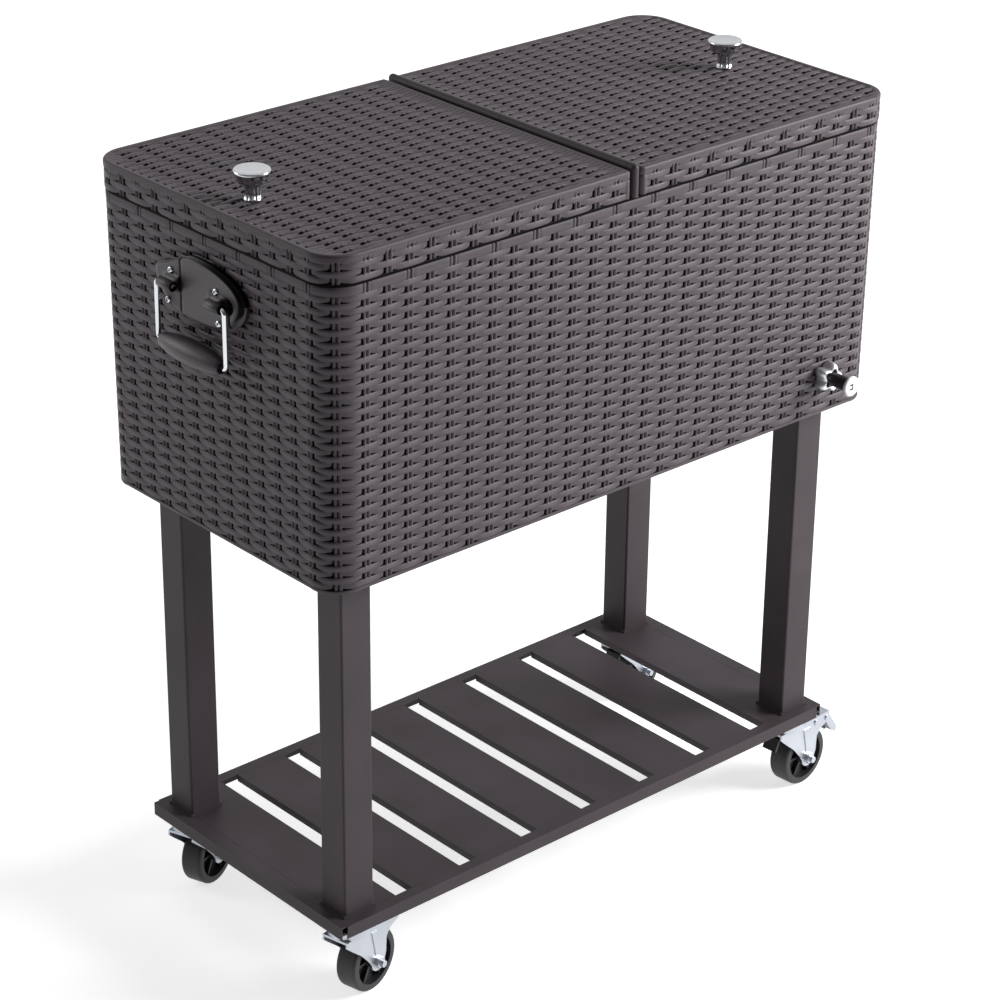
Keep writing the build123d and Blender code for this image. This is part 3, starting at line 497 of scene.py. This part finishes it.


# Moulded resin, satin and slightly waxy. It copies split rattan: streaks about 17 mm long and 1 mm
# high run along the strands. The strands' crests get a paler painted highlight, and painted shade
# blackens the pockets, the wedges and the gaps between canes.
woven_resin, tree = blank("moulded_resin_wicker")
spot = add(tree, "TexCoord").outputs["Object"]
flow = add(tree, "Mapping", {"Vector": spot, "Scale": (60, 60, 900)}).outputs[0]
streaks = {"Vector": flow, "Scale": 1.0, "Detail": 3.0, "Roughness": 0.6}
streaks = add(tree, "TexNoise", streaks).outputs["Fac"]
cloud = add(tree, "TexNoise", {"Vector": spot, "Scale": 9.0, "Detail": 2.0}).outputs["Fac"]
shade = add(tree, "Attribute", attribute_name="shade").outputs["Fac"]
painted_shade = {"Value": shade, "From Min": -0.12, "From Max": 0.22, "To Max": 0.95}
painted_shade = add(tree, "MapRange", painted_shade).outputs[0]
tone = linear("#474045")
layers = [
    # what the share comes from, its range there, its highest value, and the tone that it brings
    (streaks, 0.3, 0.75, 1.0, "#5c535b"),
    (cloud, 0.35, 0.7, 0.5, "#4f464a"),
    # painted highlight: paler on the strands' crests
    (shade, -0.55, -0.95, 0.6, "#726870"),
    # painted shade: near black in the pockets, the wedges and the gaps between canes
    (painted_shade, 0.0, 1.0, 1.0, "#0e0a0c"),
]
for value, low, high, most, colour in layers:
    share = {"Value": value, "From Min": low, "From Max": high, "To Max": most}
    share = add(tree, "MapRange", share).outputs[0]
    tone = add(tree, "Mix", {0: share, 6: tone, 7: linear(colour)}, data_type="RGBA").outputs[2]
rough = add(tree, "MapRange", {"Value": streaks, "To Min": 0.4, "To Max": 0.56})
bump = add(tree, "Bump", {"Height": streaks, "Strength": 0.12, "Distance": 0.6 * mm})
# the painted shade also takes the gloss away there
shine = add(tree, "MapRange", {"Value": painted_shade, "To Min": 0.3, "To Max": 0.02})
skin = {
    "Base Color": tone,
    "Roughness": rough.outputs[0],
    "Normal": bump.outputs[0],
    "Specular IOR Level": shine.outputs[0],
}
skin = add(tree, "BsdfPrincipled", skin)
add(tree, "OutputMaterial", {"Surface": skin.outputs[0]})

# 27 pairs of canes stand in front and behind, 13 at each end and one on each corner. They are
# numbered from the left of the front and go round twice, because the last wall runs past the start.
tub_path = outline((-half_length, half_length), (-half_depth, half_depth), [body_corner] * 4)
long_canes = cane_offset + cane_pitch * np.arange(-13, 14)
end_canes = end_offset + end_pitch * np.arange(-6, 7)
tub_canes = cane_places(tub_path, long_canes, end_canes, long_canes, end_canes)
tub_canes = np.append(tub_canes, tub_canes + tub_path[0][-1])
cane_edges = (tub_canes[1:] + tub_canes[:-1]) / 2
middle_pair = 13


def wall_piece(name, first, count, steps):
    """One stretch of the tub's wall: its first pair of canes and how many it has.

    The outside is the weave's depth laid on the outline, which leans in towards the bottom in
    proportion to the height. The section goes on over the rim, down the inside and along the lip,
    so the piece is a solid wall.
    """
    order = np.arange(first, first + count)
    along, offset = spread(tub_canes[order], cane_edges[first - 1:first + count], steps)
    along = np.append(along, cane_edges[first + count - 1])[:, None]
    offset = np.append(offset, half_pitch)[:, None]
    number = np.append(np.repeat(order, len(steps)), order[-1])[:, None] - middle_pair
    # a second column just inside each end keeps the shading straight up to the next piece
    hold = np.r_[0, 0:len(along), len(along) - 1]
    along, offset, number = along[hold], offset[hold], number[hold]
    along[[1, -2]] += [[0.03], [-0.03]]

    height, row, across = strands(np.arange(-40, 7), row_zero)
    near = long_side(tub_path, along - offset)
    depth, slide, shade = weave(near * offset, across, (number + row) % 2 == 0)
    # the lip's bottom edge and the groove above it are painted darker, as painted shade
    lip = [530.3, 531.2, 533.4, 534.3], [0.9, 0.35, 0.25, 0.5], 0, [0, -0.3, -0.2, 0.1]
    # the plain band above the weave, where every second pair shows as fine lines, and the rim
    line = (number % 2 == 1) & beside_canes(offset)
    band = np.array([1.1, 0.35, 0.2, 0.25, 0.9]) + np.where(line, 0.55, 0)
    # painted shade darkens the fine lines, the groove below the band and the top of the rim
    band_shade = np.where(line, 0.15, -0.3) + np.array([0.4, 0, 0, 0, 0.25])
    band = [852.05, 852.9, 857, 861, 861.8], band, 0, band_shade
    back = [862, 862, 533, 532, 530], [1.6, wall_thick, wall_thick, 11, 11], 0, -0.1
    woven = height, depth, slide, shade
    height, depth, slide, shade = stacked(len(offset), lip, woven, band, back)

    middle_x, middle_y, radius, angle = follow(tub_path, along)
    lean = (body_high - height) / (body_high - body_low)
    narrow = 1 - end_lean * lean / (half_length - body_corner)
    shallow = 1 - side_lean * lean / (half_depth - body_corner)
    x = middle_x * narrow + (radius - depth) * np.cos(angle)
    y = middle_y * shallow + (radius - depth) * np.sin(angle) + tub_middle
    # at the rounded corners the lip dips by up to 1.2 mm
    z = height + slide - 1.2 * np.abs(np.sin(2 * angle)) ** 0.5 * (1 - ease(height, 530, 548))
    points = np.stack(np.broadcast_arrays(x, y, z), -1) * mm
    columns, section = points.shape[:2]
    faces = grid_faces(columns, section, wrap_columns=True).tolist()
    faces.append(list(range(section))[::-1])
    faces.append(list(range((columns - 1) * section, columns * section)))
    made = mesh_object(name, points, faces, woven_resin)
    set_shade(made, shade)
    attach(made, "tub_and_trolley")
    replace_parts(made, "outer_shell")


# the long walls stop one pair short of the corners, which belong to the walls at the ends
wall_piece("tub_wall_front", 1, 25, cane_steps)
wall_piece("tub_wall_right", 26, 17, bent_steps)
wall_piece("tub_wall_back", 43, 25, cane_steps)
wall_piece("tub_wall_left", 68, 17, bent_steps)

# Two lids, moulded trays of the same resin: weave covers the top inside a plain band, a plain bead
# runs round the edge, and three rows of weave, half a step off the tub's, make the skirt. Foam
# fills each tray, a white sheet closes it below, and a soft seal runs round the sheet.
lid_low = 865
lid_top = 895.5
lid_wall = 3.1
lid_half_length = 400
lid_half_depth = 198.5
lid_corner = 37
lid_inner_corner = 4
lid_bead = 3
top_offset = -170
top_row_zero = 9.7
top_border = 9
top_longer = 6.4
hinge_x = 6
left_of_hinge = 8.5
right_of_hinge = 5.6


def lid_piece(name, body, x_span, radii, skirt_canes, first_number):
    """One lid: a skirt carried round its outline, a woven field on top and a ceiling inside.

    The skirt's section runs up the inside of the wall, round its foot and up the outside with the
    weave's depth, then over the bead by a quarter circle. The field is a grid of x and y whose
    depth is the weave's, faded out near the edge by the distance to the rounded outline, and the
    points that would lie past a corner are drawn back onto its arc.
    """
    path = outline(x_span, (-lid_half_depth, lid_half_depth), radii)
    edges = (skirt_canes[1:] + skirt_canes[:-1]) / 2
    edges = np.concatenate([[skirt_canes[0] - half_pitch], edges, [skirt_canes[-1] + half_pitch]])
    along, offset = spread(skirt_canes, edges, bent_steps)
    # the side beside the hinge is plain, with points close together at its two small corners
    plain = np.array([0, 1, 2, 4, 10, 30, 90, 180, 270, 330, 350, 356, 358, 359]) / 360
    plain = edges[-1] + plain * (edges[0] + path[0][-1] - edges[-1])
    number = np.repeat(np.arange(len(skirt_canes)), len(bent_steps)) + first_number
    along = np.concatenate([along, plain])[:, None]
    number = np.concatenate([number, np.zeros(len(plain), int)])[:, None]
    woven = np.repeat([True, False], [len(offset), len(plain)])[:, None]
    offset = np.concatenate([offset, np.full(len(plain), half_pitch)])[:, None]

    height, row, across = strands(np.arange(9, 12), row_zero)
    near = long_side(path, along - offset)
    depth, slide, shade = weave(near * offset, across, (number + row) % 2 == 1)
    depth = np.where(woven, depth, 0.05)
    rows = height - 0.1, depth, np.where(woven, slide, 0), np.where(woven, shade, -0.3)
    # the foot is painted darker towards its outer edge, as painted shade in the seam below the lid
    foot_depth = [lid_wall, lid_wall, lid_wall, 1.2, 0.6]
    foot = [892.3, 866, lid_low, lid_low, 865.4], foot_depth, 0, [-0.1, -0.1, -0.1, 0, 0.1]
    # the bead: its lower edge is cut by the pairs of canes, with painted shade in the cuts, and its
    # top is a quarter circle
    gap = woven & beside_canes(offset)
    bead = np.array([1.0, 0.4, 0.15, 0.05, 0, 0]) + np.where(gap, [1.2, 1.1, 0.8, 0.3, 0, 0], 0)
    bead_shade = np.array([0.05, -0.15, -0.3, -0.3, -0.3, -0.3])
    bead_shade = bead_shade + np.where(gap, [0.5, 0.5, 0.5, 0.25, 0, 0], 0)
    bead = [885.75, 886.6, 887.8, 889, 890.5, 892.5], bead, 0, bead_shade
    turn = np.radians([22.5, 45, 67.5, 90])
    top = lid_top - lid_bead + lid_bead * np.sin(turn), lid_bead - lid_bead * np.cos(turn), 0, -0.3
    step = [lid_top - 0.2], 6, 0, -0.3
    height, depth, slide, skirt_shade = stacked(len(offset), foot, rows, bead, top, step)
    depth = np.where(woven, depth, np.clip(depth, 0, lid_inner_corner - 0.2))
    middle_x, middle_y, radius, angle = follow(path, along)
    x = middle_x + (radius - depth) * np.cos(angle)
    y = middle_y + (radius - depth) * np.sin(angle)
    skirt = np.stack(np.broadcast_arrays(x, y, height + slide), -1)
    columns, section = skirt.shape[:2]
    faces = grid_faces(columns, section, wrap_rows=True).tolist()
    faces.append([column * section for column in range(columns)])

    low_x, high_x = x_span[0] + lid_bead, x_span[1] - lid_bead
    order = int(np.floor((low_x - top_offset) / cane_pitch)) + np.arange(17)
    grid_x = (top_offset + cane_pitch * order[:, None] + cane_steps).ravel()
    keep = (grid_x > low_x + 0.5) & (grid_x < high_x - 0.5)
    grid_x = np.concatenate([[low_x], grid_x[keep], [high_x]])[:, None]
    offset_x = np.tile(cane_steps, len(order))[keep]
    offset_x = np.concatenate([[half_pitch], offset_x, [half_pitch]])[:, None]
    number = np.repeat(order, len(cane_steps))[keep]
    number = np.concatenate([[0], number, [0]])[:, None]
    reach_y = lid_half_depth - lid_bead
    grid_y, row, offset_y = strands(np.arange(-32, 30), top_row_zero)
    keep = np.abs(grid_y) < reach_y - 0.5
    grid_y = np.concatenate([[-reach_y], grid_y[keep], [reach_y]])
    row, offset_y = [np.concatenate([[0], value[keep], [0]]) for value in (row, offset_y)]
    middle = (x_span[0] + x_span[1]) / 2

    def from_edge(px, py):
        """How far a point lies inside the lid's edge, and past the middle of the nearest arc."""
        outer = (px - middle) * np.sign(middle) > 0
        arc = np.where(outer, lid_corner, lid_inner_corner)
        past_x = np.abs(px - middle) - (x_span[1] - x_span[0]) / 2 + arc
        past_y = np.abs(py) - lid_half_depth + arc
        away = np.hypot(np.clip(past_x, 0, None), np.clip(past_y, 0, None))
        return arc - away - np.minimum(np.maximum(past_x, past_y), 0), past_x, past_y, arc

    distance, past_x, past_y, arc = from_edge(grid_x, grid_y)
    cell = from_edge(grid_x - offset_x, grid_y - offset_y)[0]
    canes_over = ((number + row) % 2 == 0) & (cell > top_border)
    depth, slide, shade = weave(offset_x, offset_y, canes_over, top_longer)
    fade = ease(distance, 6, 8.5)
    depth = 0.25 * ease(distance, 4, 7) + np.minimum(1.7 * depth, 2.7) * fade
    grid_y = grid_y + 1.3 * slide * (distance > 6)
    beyond = (distance < lid_bead + 0.0001) & (past_x > 0) & (past_y > 0)
    pull = 1 - (arc - lid_bead) / np.maximum(np.hypot(past_x, past_y), 1e-6)
    pull = np.where(beyond, pull, 0)
    x = grid_x - np.sign(grid_x - middle) * past_x * pull
    y = grid_y - np.sign(grid_y) * past_y * pull
    field = np.stack(np.broadcast_arrays(x, y, lid_top - depth), -1)
    quads = grid_faces(*field.shape[:2])
    quads = quads[~beyond.ravel()[quads].all(1)] + columns * section
    faces += quads.tolist()
    points = np.concatenate([skirt.reshape(-1, 3), field.reshape(-1, 3)]) + [0, tub_middle, 0]
    made = mesh_object(name, points * mm, faces, woven_resin)
    shade = np.where(fade > 0.5, shade, -0.3)
    set_shade(made, np.concatenate([skirt_shade.ravel(), shade.ravel()]))
    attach(made, body)
    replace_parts(made, body + "_shell")


left_span = (-lid_half_length, hinge_x - left_of_hinge)
right_span = (hinge_x + right_of_hinge, lid_half_length)
left_radii = [lid_corner, lid_inner_corner, lid_inner_corner, lid_corner]
right_radii = [lid_inner_corner, lid_corner, lid_corner, lid_inner_corner]
depth_span = (-lid_half_depth, lid_half_depth)
left_path = outline(left_span, depth_span, left_radii)
right_path = outline(right_span, depth_span, right_radii)
left_canes = cane_places(left_path, long_canes[:13], [], long_canes[:13], end_canes)
left_canes = np.concatenate([left_canes[13:], left_canes[:13] + left_path[0][-1]])
right_canes = cane_places(right_path, long_canes[14:], end_canes, long_canes[14:], [])
lid_piece("left_lid_skin", "left_lid", left_span, left_radii, left_canes, 43)
lid_piece("right_lid_skin", "right_lid", right_span, right_radii, right_canes, 1)

# Extruded soft PVC: pale grey and dull, like rubber.
soft_seal = speckled("extruded_soft_pvc", "#b9b9b6", "#adadaa", 0.7, 1.0, 0.03)
dress(rigid_foam, "left_lid_foam", "right_lid_foam")
dress(liner_plastic, "left_lid_plate", "right_lid_plate")
dress(soft_seal, "left_lid_seal", "right_lid_seal")

# Hinge: each lid hangs by a steel barrel with a leaf on one pin above the centre beam, between two
# elbow posts that are screwed to the tub in front and behind. The posts and barrels are powder
# coated, and the pin and the posts' screws zinc plated.
dress(powder_coat, "hinge_posts", "left_lid_barrel", "right_lid_barrel")
dress(zinc_plate, "hinge_pin", "hinge_post_screws")

# Lid knobs: die-cast and chrome plated, a fluted neck under a wide head whose top is dished. Each
# is held by a screw from inside the lid.
knob_profile = [
    (0.1, 0.02), (9.3, 0.02), (9.3, 0.8), (7.7, 1.3), (7.5, 6), (7.6, 12), (8, 17.6),
    (15.4, 18.6), (16, 19.2), (16.6, 22), (17.6, 26.5), (19.2, 28.6), (19.45, 29.6),
    (19.2, 30.8), (18.2, 31.8), (16.8, 31.9), (15, 31.2), (12, 30.4), (6, 30), (0.1, 29.9),
]
neck_swell = np.array([0, 0, 0, 0.5, 0.6, 0.6, 0.5, 0.1, 0.25, 0.3, 0.15] + [0] * 9)
knob_flutes = 12
knob_y = tub_middle - 15


def shaded(material):
    """Paints shade on a finish where a piece's own shade value, from 0 to 1, marks a hollow."""
    share = add(material.node_tree, "Attribute", attribute_name="shade").outputs["Fac"]
    darken(material, share, "#0e0c0d")
    return material


def turned_piece(name, body, nodes, profile, place, axis, material,
                 lobes=0, swell=0, columns=64, ring=False):
    """A turned piece: a profile of (radius, height) points carried round an axis from a place.

    axis is "z" for one that stands, "y" for one that points to the front and "x" or "-x" for the
    ends. Each radius grows by swell times the cosine of lobes times the angle, where swell may give
    one value for each point. A ring's profile closes on itself, and any other ends in flat caps.
    """
    radius, height = np.array(profile, float).T[:, :, None]
    angle = np.linspace(0, 2 * np.pi, columns, endpoint=False)
    radius = radius + np.reshape(swell, (-1, 1)) * np.cos(lobes * angle)
    across, away = radius * np.cos(angle), radius * np.sin(angle)
    height = height + 0 * across
    ways = {
        "z": (across, away, height),
        "y": (across, -height, away),
        "x": (height, across, away),
        "-x": (-height, -across, away),
    }
    points = np.stack(ways[axis], -1) + place
    count = len(points) * columns
    faces = grid_faces(len(points), columns, wrap_rows=ring, wrap_columns=True)
    faces = faces[:, ::-1].tolist()
    if not ring:
        faces += [list(range(columns))[::-1], list(range(count - columns, count))]
    made = mesh_object(name, points * mm, faces, material)
    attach(made, body)
    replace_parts(made, *nodes)
    return made


# Decorative chrome plate: a clear mirror, whose side shows the dark room in patches and whose dish
# shows the pale ceiling.
chrome_plate = speckled("chrome_plated_steel", "#d8dade", "#cfd1d6", 0.12, 6.0, 0.004, metallic=1)
shaded(chrome_plate)
for side, x in (("left", -350), ("right", 318)):
    place = (x, knob_y, lid_top)
    knob = turned_piece(side + "_lid_knob", side + "_lid", [side + "_knob"], knob_profile, place,
                        "z", chrome_plate, knob_flutes, neck_swell, 144)
dress(zinc_plate, "left_knob_screw", "right_knob_screw")

# Drain: a chromed nut with five rounded lobes and a dished face, a black pipe that widens towards
# its end, and a white moulded cap with a short slot across its face. Inside the tub a soft washer
# and a white nut hold the pipe.
drain_x = 313.5
drain_height = 578
shell_front = tub_middle - 195.3
pipe_end = tub_middle - 236.3
bore = 8.15
nut_radius = 15.3
nut_lobes = 5
nut_share = [
    (0.9, 0.05), (0.99, 1.6), (1, 5), (0.98, 10), (0.9, 14), (0.8, 15.5),
    (0.68, 15.3), (0.62, 13), (0.6, 11.5),
]
nut_profile = [(nut_radius * share, rise) for share, rise in nut_share]
nut_profile = [(bore, 0.05)] + nut_profile + [(bore, 11.2)]
nut_swell = [2.9 * share if share > 0.65 else 0.6 for share, rise in nut_share]
nut_swell = np.array([0] + nut_swell + [0])
# Chromed zinc casting: bright, but rippled and a little clouded, so its highlights are broken.
chrome_casting = speckled("chromed_zinc_casting", "#f4f5f7", "#d4d7db", 0.42, 2.4, 0.3, metallic=1)
place = (drain_x, shell_front, drain_height)
drain_nut = turned_piece("drain_lobed_nut", "tub_and_trolley", ["drain_collar"], nut_profile, place,
                         "y", chrome_casting, nut_lobes, nut_swell, 120, True)

# Moulded polyethylene: a clean, bright and softly glossy white.
cap_plastic = shaded(speckled("moulded_white_polyethylene", "#fbfbfd", "#f1f1f4", 0.3, 1.5, 0.01))
cap_profile = [
    (0.1, -8.2), (4.85, -8.2), (4.9, 0), (11.2, 0), (11.9, 0.6), (11.95, 2.6), (11.3, 3.7),
]
cap_profile += [(radius, 3.98) for radius in (9.5, 5.2, 4.6, 4, 3.4, 2.8, 2.2, 1.6, 1, 0.1)]
place = (drain_x, pipe_end, drain_height)
drain_lid = turned_piece("drain_round_cap", "drain_cap_body", ["drain_cap"], cap_profile, place,
                         "y", cap_plastic)
# the slot is painted shade, a dark bent line on the flat face: a ring of squares open to the left
corners = np.array([vertex.co for vertex in drain_lid.data.vertices]) / mm - place
square = np.maximum(np.abs(corners[:, 0] + 2), np.abs(corners[:, 2])) - 2.6
set_shade(drain_lid, (np.abs(square) < 0.9) * (corners[:, 0] > -4.2) * (corners[:, 1] < -3.9))
dress(dark_nylon, "drain_pipe")
dress(soft_seal, "drain_washer")
dress(liner_plastic, "drain_nut")

# Handles: a domed half-moon plate moulded in dark nylon, with a block for the rear pivot set off by
# a groove, a hollow where the wire enters in front, and four cross-head screws. A spindle shaped
# grip turns on the chromed wire, and its ends are hollow.
handle_y = tub_middle + 5
plate_half = 75
plate_widest = 809
plate_above = 29
plate_below = 40.5
pivot_height = 803
pivot_out = 416.5
grip_height = 740
screw_out = 408
# (from the tub's middle, height) of each screw
screw_places = [(48.5, 815), (54.6, 781), (-27, 814), (-30.4, 780.6)]
screw_profile = [
    (0.3, -22.5), (1.8, -22.4), (1.9, 0.05), (3.75, 0.1), (3.75, 0.8), (3.3, 1.6), (2.3, 2.1),
    (1.6, 2.1), (1.2, 1.1), (0.1, 0.9),
]
# the screw's socket is painted dark, as painted shade
screw_shade = [0.0] * 7 + [0.3, 1, 1]
grip_half = [
    (2.9, 45), (5.4, 45.2), (5.8, 49.6), (6.4, 50), (7, 49.6), (8.6, 46), (11.4, 30), (13.1, 14),
]
grip_profile = grip_half + [(13.6, 0)] + [(radius, -height) for radius, height in grip_half[::-1]]
boss_profile = [(2.95, 0), (4.9, 0), (5.55, 0.8), (5.55, 23.2), (4.9, 24), (2.95, 24)]
# each boss's front end round the wire is painted dark, as painted shade
boss_shade = [0.0, 0, 0, 0.4, 1, 1]
# Moulded nylon in the resin's brown: smooth and satin, with soft highlights on every rounding.
handle_nylon = shaded(speckled("moulded_handle_nylon", "#433a41", "#3b3339", 0.42, 1.2, 0.02))


def handle_plate(name, side):
    """The plate's relief over its width and height, as far out from the tub's end as it stands.

    Across, the outline is an ellipse above its widest height and a fuller one below. Inside it the
    face rises by a smooth step near the edge and bulges over both pivots by a parabola. The hollow,
    the groove, the slot that the wire swings in, a small recess and the flank towards the front are
    painted dark, as painted shade.
    """
    across = np.sin(np.radians(np.linspace(-90, 90, 61)))
    sharp = np.array([-54.6, -54, -50, -49.4, 26.2, 26.8, 29.2, 29.8]) / plate_half
    across = np.sort(np.append(across, sharp))[:, None]
    rise = np.sin(np.radians(np.linspace(-90, 90, 41)))
    rise = np.sort(np.append(rise, (-0.17, 0.02, 0.08)))
    y = plate_half * across + 0 * rise
    above = plate_above * np.sqrt(1 - across**2) * (1 - 0.42 * ease(plate_half * across, 10, 62))
    below = plate_below * (1 - np.abs(across) ** 2.3) ** 0.47
    height = plate_widest + np.where(rise > 0, above, below) * rise
    rim = np.sqrt(across**2 + rise**2 * (1 - across**2))
    face = rim < 0.97

    out = 5.6 + 3.3 * ease(1 - rim, 0, 0.1)
    bulge = np.clip(1 - ((height - pivot_height) / 8.5) ** 2, 0, None)
    out = out + 7 * bulge * ease(y, 26, 31) * (1 - ease(y, 50, 57)) * face
    out = out + 6.4 * bulge * (1 - ease(y, -29, -18)) * ease(y, -50, -44) * face
    hollow = 1 - ease(np.hypot(y + 51, (height - 803.5) * 0.95), 5.5, 8.5)
    groove = (np.abs(y - 28) < 1.3) & (rim < 0.98)
    slot = (np.abs(y + 52) < 2.1) & (height < pivot_height) & face
    out = out - 4.5 * hollow - 2.2 * groove - 3 * slot
    flank = ease(rim, 0.88, 0.92) * (1 - ease(y, -30, 40)) * ease(rise, -0.9, -0.6)
    recess = (np.abs(y + 25) < 4) & (np.abs(height - 811) < 2.4)
    painted_shade = np.clip(hollow * 1.4 + groove + slot + flank + 0.6 * recess, 0, 1)

    # both long edges go back to the tub's end, which closes the plate behind
    out = np.hstack([0 * out[:, :1] + 0.05, out, 0 * out[:, :1] + 0.05])
    y, height, painted_shade = [np.hstack([grid[:, :1], grid, grid[:, -1:]]) for grid in (y, height, painted_shade)]
    x = side * (half_length + out)
    points = np.stack([x, y + handle_y, height], -1) * mm
    faces = grid_faces(*x.shape, wrap_columns=True)
    if side > 0:
        faces = faces[:, ::-1]
    plate = mesh_object(name, points, faces.tolist(), handle_nylon)
    set_shade(plate, painted_shade)
    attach(plate, "tub_and_trolley")
    return plate


for side, sign in (("left", -1), ("right", 1)):
    node = side + "_handle_plate"
    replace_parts(handle_plate(side + "_handle_relief", sign), node)
    for end, back in (("rear", 57), ("front", -23)):
        place = (sign * pivot_out, tub_middle + back, pivot_height)
        boss = turned_piece(side + "_" + end + "_pivot_boss", "tub_and_trolley", [node],
                            boss_profile, place, "y", handle_nylon, ring=True, columns=40)
        set_shade(boss, np.repeat(boss_shade, 40))
    place = (sign * pivot_out, handle_y, grip_height)
    grip = turned_piece(side + "_spindle_grip", side + "_handle", [side + "_grip"],
                        grip_profile, place, "y", handle_nylon, ring=True)
    outward = "x" if sign > 0 else "-x"
    for number, (y, z) in enumerate(screw_places):
        place = (sign * screw_out, tub_middle + y, z)
        screw = turned_piece(side + "_handle_screw_" + str(number + 1), "tub_and_trolley",
                             ["handle_screws"], screw_profile, place, outward, chrome_plate,
                             columns=32)
        set_shade(screw, np.repeat(screw_shade, 32))
dress(chrome_plate, "left_bail", "right_bail")
